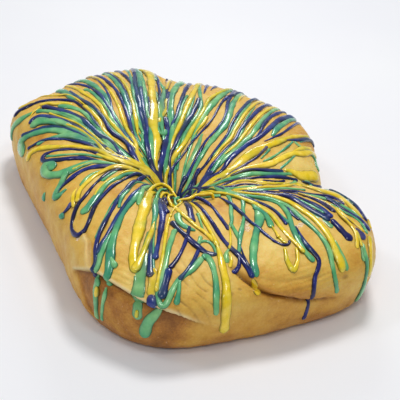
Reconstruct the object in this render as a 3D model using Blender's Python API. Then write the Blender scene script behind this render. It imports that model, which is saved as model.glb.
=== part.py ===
"""King cake: one oval ring of sweet yeast dough, baked until its hole has closed to a pit.

One solid body.  The surface is worked out from a section (pit floor, pit wall,
shoulder, flank, underside) swept round the pit's axis; the outline radius and
the crest height change on the way round, and the seams and folds of the dough
are pressed into it along named lines.  Sizes are in millimetres until the last
step, where the body is scaled to metres.
"""
import math

import bmesh
import bpy
import numpy as np

# ---------------------------------------------------------------- named sizes
PIT_X, PIT_Y = -27.974, -42.054       # axis of the pit, from the middle of the cake
PIT_FLOOR, PIT_RADIUS = 31.0, 13.0   # height and radius of the pit's floor
PIT_DISH = 3.0                       # how far the floor is dished
BELLY = 41.0                         # height of the widest outline
FOOT_IN = 18.0                       # the foot stands this much inside the outline
ROUNDING = 2.3                       # 2 = round shoulder, larger = squarer
CREST_AT = 0.48                      # the crest stands at this share of the outline

# distance from the pit's axis to the widest outline, every 10 degrees
OUTLINE = (149, 159, 179.5, 200, 210, 217, 223, 229, 248, 243, 230.5, 220,
           212.5, 182, 153, 134.5, 123, 117.5, 116, 117.5, 123, 132.5, 145.5,
           158.5, 167, 168, 165, 163, 165, 169.5, 179, 187, 185, 176.5, 162.5,
           147.5)
# height of the crest, every 20 degrees
CREST = (71, 75, 77, 76, 83, 85, 82, 79, 78, 77, 77, 76, 76, 75, 75, 77, 77, 73.5)

# shares of the section where one stretch ends and the next begins
T_FLOOR, T_CREST, T_BELLY, T_FOOT = 0.03, 0.30, 0.64, 0.86

# seams and folds, each through (angle in degrees, share of the section)
SEAM_BACK = ((73.5, .50), (73.9, .44), (74.3, .38), (75.0, .32), (76.8, .265),
             (78.7, .21), (82.5, .165), (87.0, .125))
VALLEY_RIGHT = ((348.8, .74), (349.3, .64), (349.7, .54), (348.4, .44),
                (344.7, .36), (338.6, .29), (331.0, .225))
FOLD_FRONT = ((266.0, .415), (267.8, .442), (270.2, .488), (274.3, .548),
              (279.1, .602), (285.8, .642), (294.0, .665), (303.0, .68))
CREASE_FRONT = ((271.5, .47), (275.0, .507), (280.3, .537), (286.6, .555),
                (292.8, .567), (299.0, .572))
SPLIT_LEFT = ((210.5, .66), (215.3, .626), (219.4, .594), (224.0, .562),
              (230.0, .557), (236.0, .565), (241.0, .584), (248.6, .613),
              (253.4, .640), (260.5, .67))
LIP_LEFT = ((207.8, .478), (211.5, .491), (215.6, .494), (217.7, .511),
            (220.6, .544), (222.6, .568))

# mesh: width of a sharp edge; segments round the pit; rings over each stretch
EDGE = 11.0
SEGMENTS = 120
RINGS = (("floor", 2), ("wall", 9), ("shoulder", 17), ("flank", 9), ("under", 3))


# ---------------------------------------------------------------- the surface
def smooth(x):
    x = np.clip(x, 0, 1)
    return x * x * (3 - 2 * x)


def ring(values, angle):
    """Smooth closed curve through values set evenly round the circle."""
    y = np.asarray(values, float)
    n = len(y)
    m = np.zeros((n, n))
    for i in range(n):
        m[i, (i - 1) % n], m[i, i], m[i, (i + 1) % n] = 1, 4, 1
    k = np.linalg.solve(m, 6 * (np.roll(y, -1) - 2 * y + np.roll(y, 1)))
    u = (np.asarray(angle, float) / (2 * np.pi) % 1.0) * n
    i = np.floor(u).astype(int) % n
    f = u - np.floor(u)
    j = (i + 1) % n
    g = 1 - f
    return (g * y[i] + f * y[j] + (g ** 3 - g) * k[i] / 6
            + (f ** 3 - f) * k[j] / 6)


def body(angle, t):
    """Plain surface: angle round the pit; t = 0 pit floor to 1 middle of the underside."""
    angle, t = np.broadcast_arrays(np.asarray(angle, float), np.asarray(t, float))
    ro = ring(OUTLINE, angle)
    h = ring(CREST, angle)
    rc = CREST_AT * ro
    k = 2 / ROUNDING
    # dished floor of the pit
    a = np.clip(t / T_FLOOR, 0, 1)
    r = PIT_RADIUS * a
    z = PIT_FLOOR - PIT_DISH * (1 - a ** 2)
    # wall of the pit, up to the crest
    q = np.clip((t - T_FLOOR) / (T_CREST - T_FLOOR), 0, 1) * np.pi / 2
    part = t > T_FLOOR
    r = np.where(part, PIT_RADIUS + (rc - PIT_RADIUS) * (1 - np.cos(q)), r)
    z = np.where(part, PIT_FLOOR + (h - PIT_FLOOR) * np.sin(q), z)
    # shoulder, down to the widest outline
    q = np.clip((t - T_CREST) / (T_BELLY - T_CREST), 0, 1) * np.pi / 2
    part = t > T_CREST
    r = np.where(part, rc + (ro - rc) * np.sin(q) ** k, r)
    z = np.where(part, BELLY + (h - BELLY) * np.clip(np.cos(q), 0, 1) ** k, z)
    # flank, in to the foot
    q = np.clip((t - T_BELLY) / (T_FOOT - T_BELLY), 0, 1) * np.pi / 2
    part = t > T_BELLY
    r = np.where(part, ro - FOOT_IN + FOOT_IN * np.clip(np.cos(q), 0, 1) ** k, r)
    z = np.where(part, BELLY * (1 - np.sin(q) ** k), z)
    # flat underside
    u = np.clip((t - T_FOOT) / (1 - T_FOOT), 0, 1)
    part = t > T_FOOT
    r = np.where(part, (ro - FOOT_IN) * (1 - u), r)
    z = np.where(part, 0.0, z)
    return np.stack([PIT_X + r * np.cos(angle), PIT_Y + r * np.sin(angle), z], -1)


def normals(angle, t):
    e = 1e-4
    pa = body(angle + e, t) - body(angle - e, t)
    pt = body(angle, np.minimum(t + e, 1)) - body(angle, np.maximum(t - e, 0))
    n = np.cross(pt, pa)
    n /= np.maximum(np.linalg.norm(n, axis=1), 1e-12)[:, None]
    n[t < T_FLOOR] = (0, 0, 1)
    n[t > T_FOOT] = (0, 0, -1)
    return n


def along(line):
    """Points, directions and share of the length along a line on the plain surface."""
    n = len(line)
    u = np.linspace(0, n - 1, 12 * (n - 1) + 1)
    i = np.minimum(u.astype(int), n - 2)
    f = u - i

    def through(v):
        v = np.concatenate([[2 * v[0] - v[1]], v, [2 * v[-1] - v[-2]]])
        a, b, c, d = v[i], v[i + 1], v[i + 2], v[i + 3]
        return 0.5 * (2 * b + (c - a) * f + (2 * a - 5 * b + 4 * c - d) * f ** 2
                      + (3 * b - a - 3 * c + d) * f ** 3)

    pts = body(through(np.radians([p[0] for p in line])),
               through(np.array([p[1] for p in line])))
    d = np.gradient(pts, axis=0)
    d /= np.linalg.norm(d, axis=1, keepdims=True)
    s = np.concatenate([[0], np.cumsum(np.linalg.norm(np.diff(pts, axis=0), axis=1))])
    return pts, d, s / s[-1]


def beside(p, n, line):
    """Signed distance of points from a line, and the share along the line."""
    q, d, s = along(line)
    best = np.full(len(p), 1e9)
    side = np.zeros(len(p))
    share = np.zeros(len(p))
    for i in range(len(q)):
        v = p - q[i]
        dist = np.einsum('ij,ij->i', v, v)
        near = dist < best
        best[near] = dist[near]
        side[near] = np.einsum('ij,ij->i', v[near], np.cross(n[near], d[i]))
        share[near] = s[i]
    best = np.sqrt(best)
    return np.where(side >= 0, best, -best), share


def fade(share, a, b):
    """1 along the middle of a line, easing to 0 over its first a and last b shares."""
    w = np.ones_like(share)
    if a > 0:
        w = w * smooth(share / a)
    if b > 0:
        w = w * smooth((1 - share) / b)
    return w


def bell(d, width):
    return np.exp(-(d / width) ** 2)


def above(d, step):
    """0 on the negative side of a line, 1 on the positive side."""
    return smooth(0.5 + d / step)


def pressed(a, t, p, n, step):
    """How far the dough stands off the plain surface; step = width of a sharp edge."""
    clear = smooth((T_FOOT - t) / 0.12)
    top = smooth((t - 0.10) / 0.15) * smooth((T_FOOT - 0.04 - t) / 0.2)
    # slow waves of the risen dough, running out from the pit
    move = top * (0.9 * np.sin(7 * a + 0.6) + 0.7 * np.sin(11 * a + 2.1 + 3 * t)
                  + 0.5 * np.sin(17 * a + 6 * t)
                  + 0.6 * np.sin(5 * a + 16 * t) * np.sin(3 * a + 1.2))
    # seam at the back, where the two ends of the roll met
    d, u = beside(p, n, SEAM_BACK)
    move -= 5.0 * bell(d, 6.0) * fade(u, 0, 0.6)
    # valley on the right, between two lobes
    d, u = beside(p, n, VALLEY_RIGHT)
    move -= 13.0 * bell(d, 17.0) * fade(u, 0.05, 0.75) * smooth((0.80 - t) / 0.28)
    # fold on the front: the right lobe rolls over the middle one
    d, u = beside(p, n, FOLD_FRONT)
    far = np.abs(d)
    up = above(d, step)
    move += fade(u, 0.3, 0.35) * clear * (
        up * 3.0 * (1 - np.exp(-far / 8)) * np.exp(-far / 35)
        - (1 - up) * 2.2 * np.exp(-far / 22) - 5.0 * bell(d, 0.7 * step))
    # slack crease just above it
    d, u = beside(p, n, CREASE_FRONT)
    move -= 1.3 * bell(d, 3.0) * fade(u, 0.3, 0.3)
    # split on the left front: the crust laps over the layer beneath it
    d, u = beside(p, n, SPLIT_LEFT)
    far = np.abs(d)
    up = above(d, step)
    move += fade(u, 0.15, 0.25) * smooth((T_FOOT - t) / 0.10) * (
        up * 1.6 * np.exp(-far / 10) - (1 - up) * 7.0 * np.exp(-far / 24))
    # lip that runs down to the split
    d, u = beside(p, n, LIP_LEFT)
    far = np.abs(d)
    up = above(d, step)
    move += fade(u, 0.35, 0.15) * ((1 - up) * 2.6 * np.exp(-far / 9)
                                   - up * 2.4 * np.exp(-far / 5))
    return move


def cake(a, t, step):
    p = body(a, t)
    n = normals(a, t)
    p = p + n * pressed(a, t, p, n, step)[:, None]
    p[:, 2] = np.where(t >= T_FOOT, 0.0, np.maximum(p[:, 2], 0.0))
    return p


# ---------------------------------------------------------------- the mesh
def ring_shares():
    """Share of the section for every ring, pole to pole."""
    ends = {"floor": (0.0, T_FLOOR), "wall": (T_FLOOR, T_CREST),
            "shoulder": (T_CREST, T_BELLY), "flank": (T_BELLY, T_FOOT),
            "under": (T_FOOT, 1.0)}
    out = [0.0]
    for name, count in RINGS:
        lo, hi = ends[name]
        for k in range(1, count + 1):
            out.append(lo + (hi - lo) * k / count)
    return np.array(out)


def build_cake():
    shares = ring_shares()
    bm = bmesh.new()
    bmesh.ops.create_uvsphere(bm, u_segments=SEGMENTS, v_segments=len(shares) - 1,
                              radius=1.0)
    xyz = np.array([v.co[:] for v in bm.verts])
    polar = np.arccos(np.clip(xyz[:, 2], -1, 1)) / np.pi * (len(shares) - 1)
    t = shares[np.rint(polar).astype(int)]
    a = np.arctan2(xyz[:, 1], xyz[:, 0]) % (2 * np.pi)
    pts = cake(a, t, EDGE) * 0.001
    for v, co in zip(bm.verts, pts):
        v.co = co
    bm.normal_update()
    mesh = bpy.data.meshes.new("cake")
    bm.to_mesh(mesh)
    bm.free()
    for poly in mesh.polygons:
        poly.use_smooth = True
    mesh.set_sharp_from_angle(angle=math.radians(50))
    return bpy.data.objects.new("cake", mesh)


def baked_dough():
    mat = bpy.data.materials.new("baked_dough")
    mat.use_nodes = True
    shader = mat.node_tree.nodes["Principled BSDF"]
    shader.inputs["Base Color"].default_value = (0.62, 0.33, 0.09, 1.0)
    shader.inputs["Roughness"].default_value = 0.45
    mat.diffuse_color = (0.62, 0.33, 0.09, 1.0)
    return mat


for old in list(bpy.data.objects):
    bpy.data.objects.remove(old, do_unlink=True)

collection = bpy.data.collections.new("king_cake")
bpy.context.scene.collection.children.link(collection)
node = build_cake()
node.data.materials.append(baked_dough())
collection.objects.link(node)
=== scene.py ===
"""King cake: looks.  The dough is one fine mesh on the same surface as the CAD
node; the icing is three pieces of poured strands, yellow, green and purple,
each strand a low bead that lies on the dough and rides over those poured
before it.  Works in millimetres and scales to metres when a mesh is made.
"""
import math

import bpy
import numpy as np
from mathutils import Matrix, Vector


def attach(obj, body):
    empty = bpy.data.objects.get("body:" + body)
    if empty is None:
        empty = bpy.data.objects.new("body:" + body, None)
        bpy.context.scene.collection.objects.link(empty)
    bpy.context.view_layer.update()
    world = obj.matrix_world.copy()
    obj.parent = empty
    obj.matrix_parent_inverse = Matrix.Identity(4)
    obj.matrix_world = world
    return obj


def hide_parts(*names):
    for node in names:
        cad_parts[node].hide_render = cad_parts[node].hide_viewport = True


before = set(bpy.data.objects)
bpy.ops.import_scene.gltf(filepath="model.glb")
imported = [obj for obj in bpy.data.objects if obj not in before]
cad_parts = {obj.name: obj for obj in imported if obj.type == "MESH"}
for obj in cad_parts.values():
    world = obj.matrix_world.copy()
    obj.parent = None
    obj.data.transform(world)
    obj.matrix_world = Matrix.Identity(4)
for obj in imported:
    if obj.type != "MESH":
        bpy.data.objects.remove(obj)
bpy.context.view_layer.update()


# ---------------------------------------------------------------- named sizes
PIT_X, PIT_Y = -27.974, -42.054       # axis of the pit, from the middle of the cake
PIT_FLOOR, PIT_RADIUS = 31.0, 13.0   # height and radius of the pit's floor
PIT_DISH = 3.0                       # how far the floor is dished
BELLY = 41.0                         # height of the widest outline
FOOT_IN = 18.0                       # the foot stands this much inside the outline
ROUNDING = 2.3                       # 2 = round shoulder, larger = squarer
CREST_AT = 0.48                      # the crest stands at this share of the outline

# distance from the pit's axis to the widest outline, every 10 degrees
OUTLINE = (149, 159, 179.5, 200, 210, 217, 223, 229, 248, 243, 230.5, 220,
           212.5, 182, 153, 134.5, 123, 117.5, 116, 117.5, 123, 132.5, 145.5,
           158.5, 167, 168, 165, 163, 165, 169.5, 179, 187, 185, 176.5, 162.5,
           147.5)
# height of the crest, every 20 degrees
CREST = (71, 75, 77, 76, 83, 85, 82, 79, 78, 77, 77, 76, 76, 75, 75, 77, 77, 73.5)

# shares of the section where one stretch ends and the next begins
T_FLOOR, T_CREST, T_BELLY, T_FOOT = 0.03, 0.30, 0.64, 0.86

# seams and folds, each through (angle in degrees, share of the section)
SEAM_BACK = ((73.5, .50), (73.9, .44), (74.3, .38), (75.0, .32), (76.8, .265),
             (78.7, .21), (82.5, .165), (87.0, .125))
VALLEY_RIGHT = ((348.8, .74), (349.3, .64), (349.7, .54), (348.4, .44),
                (344.7, .36), (338.6, .29), (331.0, .225))
FOLD_FRONT = ((266.0, .415), (267.8, .442), (270.2, .488), (274.3, .548),
              (279.1, .602), (285.8, .642), (294.0, .665), (303.0, .68))
CREASE_FRONT = ((271.5, .47), (275.0, .507), (280.3, .537), (286.6, .555),
                (292.8, .567), (299.0, .572))
SPLIT_LEFT = ((210.5, .66), (215.3, .626), (219.4, .594), (224.0, .562),
              (230.0, .557), (236.0, .565), (241.0, .584), (248.6, .613),
              (253.4, .640), (260.5, .67))
LIP_LEFT = ((207.8, .478), (211.5, .491), (215.6, .494), (217.7, .511),
            (220.6, .544), (222.6, .568))

# ---------------------------------------------------------------- the surface
def smooth(x):
    x = np.clip(x, 0, 1)
    return x * x * (3 - 2 * x)


def ring(values, angle):
    """Smooth closed curve through values set evenly round the circle."""
    y = np.asarray(values, float)
    n = len(y)
    m = np.zeros((n, n))
    for i in range(n):
        m[i, (i - 1) % n], m[i, i], m[i, (i + 1) % n] = 1, 4, 1
    k = np.linalg.solve(m, 6 * (np.roll(y, -1) - 2 * y + np.roll(y, 1)))
    u = (np.asarray(angle, float) / (2 * np.pi) % 1.0) * n
    i = np.floor(u).astype(int) % n
    f = u - np.floor(u)
    j = (i + 1) % n
    g = 1 - f
    return (g * y[i] + f * y[j] + (g ** 3 - g) * k[i] / 6
            + (f ** 3 - f) * k[j] / 6)


def body(angle, t):
    """Plain surface: angle round the pit; t = 0 pit floor to 1 middle of the underside."""
    angle, t = np.broadcast_arrays(np.asarray(angle, float), np.asarray(t, float))
    ro = ring(OUTLINE, angle)
    h = ring(CREST, angle)
    rc = CREST_AT * ro
    k = 2 / ROUNDING
    # dished floor of the pit
    a = np.clip(t / T_FLOOR, 0, 1)
    r = PIT_RADIUS * a
    z = PIT_FLOOR - PIT_DISH * (1 - a ** 2)
    # wall of the pit, up to the crest
    q = np.clip((t - T_FLOOR) / (T_CREST - T_FLOOR), 0, 1) * np.pi / 2
    part = t > T_FLOOR
    r = np.where(part, PIT_RADIUS + (rc - PIT_RADIUS) * (1 - np.cos(q)), r)
    z = np.where(part, PIT_FLOOR + (h - PIT_FLOOR) * np.sin(q), z)
    # shoulder, down to the widest outline
    q = np.clip((t - T_CREST) / (T_BELLY - T_CREST), 0, 1) * np.pi / 2
    part = t > T_CREST
    r = np.where(part, rc + (ro - rc) * np.sin(q) ** k, r)
    z = np.where(part, BELLY + (h - BELLY) * np.clip(np.cos(q), 0, 1) ** k, z)
    # flank, in to the foot
    q = np.clip((t - T_BELLY) / (T_FOOT - T_BELLY), 0, 1) * np.pi / 2
    part = t > T_BELLY
    r = np.where(part, ro - FOOT_IN + FOOT_IN * np.clip(np.cos(q), 0, 1) ** k, r)
    z = np.where(part, BELLY * (1 - np.sin(q) ** k), z)
    # flat underside
    u = np.clip((t - T_FOOT) / (1 - T_FOOT), 0, 1)
    part = t > T_FOOT
    r = np.where(part, (ro - FOOT_IN) * (1 - u), r)
    z = np.where(part, 0.0, z)
    return np.stack([PIT_X + r * np.cos(angle), PIT_Y + r * np.sin(angle), z], -1)


def normals(angle, t):
    e = 1e-4
    pa = body(angle + e, t) - body(angle - e, t)
    pt = body(angle, np.minimum(t + e, 1)) - body(angle, np.maximum(t - e, 0))
    n = np.cross(pt, pa)
    n /= np.maximum(np.linalg.norm(n, axis=1), 1e-12)[:, None]
    n[t < T_FLOOR] = (0, 0, 1)
    n[t > T_FOOT] = (0, 0, -1)
    return n


def along(line):
    """Points, directions and share of the length along a line on the plain surface."""
    n = len(line)
    u = np.linspace(0, n - 1, 12 * (n - 1) + 1)
    i = np.minimum(u.astype(int), n - 2)
    f = u - i

    def through(v):
        v = np.concatenate([[2 * v[0] - v[1]], v, [2 * v[-1] - v[-2]]])
        a, b, c, d = v[i], v[i + 1], v[i + 2], v[i + 3]
        return 0.5 * (2 * b + (c - a) * f + (2 * a - 5 * b + 4 * c - d) * f ** 2
                      + (3 * b - a - 3 * c + d) * f ** 3)

    pts = body(through(np.radians([p[0] for p in line])),
               through(np.array([p[1] for p in line])))
    d = np.gradient(pts, axis=0)
    d /= np.linalg.norm(d, axis=1, keepdims=True)
    s = np.concatenate([[0], np.cumsum(np.linalg.norm(np.diff(pts, axis=0), axis=1))])
    return pts, d, s / s[-1]


def beside(p, n, line):
    """Signed distance of points from a line, and the share along the line."""
    q, d, s = along(line)
    best = np.full(len(p), 1e9)
    side = np.zeros(len(p))
    share = np.zeros(len(p))
    for i in range(len(q)):
        v = p - q[i]
        dist = np.einsum('ij,ij->i', v, v)
        near = dist < best
        best[near] = dist[near]
        side[near] = np.einsum('ij,ij->i', v[near], np.cross(n[near], d[i]))
        share[near] = s[i]
    best = np.sqrt(best)
    return np.where(side >= 0, best, -best), share


def fade(share, a, b):
    """1 along the middle of a line, easing to 0 over its first a and last b shares."""
    w = np.ones_like(share)
    if a > 0:
        w = w * smooth(share / a)
    if b > 0:
        w = w * smooth((1 - share) / b)
    return w


def bell(d, width):
    return np.exp(-(d / width) ** 2)


def above(d, step):
    """0 on the negative side of a line, 1 on the positive side."""
    return smooth(0.5 + d / step)


def pressed(a, t, p, n, step):
    """How far the dough stands off the plain surface; step = width of a sharp edge."""
    clear = smooth((T_FOOT - t) / 0.12)
    top = smooth((t - 0.10) / 0.15) * smooth((T_FOOT - 0.04 - t) / 0.2)
    # slow waves of the risen dough, running out from the pit
    move = top * (0.9 * np.sin(7 * a + 0.6) + 0.7 * np.sin(11 * a + 2.1 + 3 * t)
                  + 0.5 * np.sin(17 * a + 6 * t)
                  + 0.6 * np.sin(5 * a + 16 * t) * np.sin(3 * a + 1.2))
    # seam at the back, where the two ends of the roll met
    d, u = beside(p, n, SEAM_BACK)
    move -= 5.0 * bell(d, 6.0) * fade(u, 0, 0.6)
    # valley on the right, between two lobes
    d, u = beside(p, n, VALLEY_RIGHT)
    move -= 13.0 * bell(d, 17.0) * fade(u, 0.05, 0.75) * smooth((0.80 - t) / 0.28)
    # fold on the front: the right lobe rolls over the middle one
    d, u = beside(p, n, FOLD_FRONT)
    far = np.abs(d)
    up = above(d, step)
    move += fade(u, 0.3, 0.35) * clear * (
        up * 3.0 * (1 - np.exp(-far / 8)) * np.exp(-far / 35)
        - (1 - up) * 2.2 * np.exp(-far / 22) - 5.0 * bell(d, 0.7 * step))
    # slack crease just above it
    d, u = beside(p, n, CREASE_FRONT)
    move -= 1.3 * bell(d, 3.0) * fade(u, 0.3, 0.3)
    # split on the left front: the crust laps over the layer beneath it
    d, u = beside(p, n, SPLIT_LEFT)
    far = np.abs(d)
    up = above(d, step)
    move += fade(u, 0.15, 0.25) * smooth((T_FOOT - t) / 0.10) * (
        up * 1.6 * np.exp(-far / 10) - (1 - up) * 7.0 * np.exp(-far / 24))
    # lip that runs down to the split
    d, u = beside(p, n, LIP_LEFT)
    far = np.abs(d)
    up = above(d, step)
    move += fade(u, 0.35, 0.15) * ((1 - up) * 2.6 * np.exp(-far / 9)
                                   - up * 2.4 * np.exp(-far / 5))
    return move


def cake(a, t, step):
    p = body(a, t)
    n = normals(a, t)
    p = p + n * pressed(a, t, p, n, step)[:, None]
    p[:, 2] = np.where(t >= T_FOOT, 0.0, np.maximum(p[:, 2], 0.0))
    return p


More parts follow.
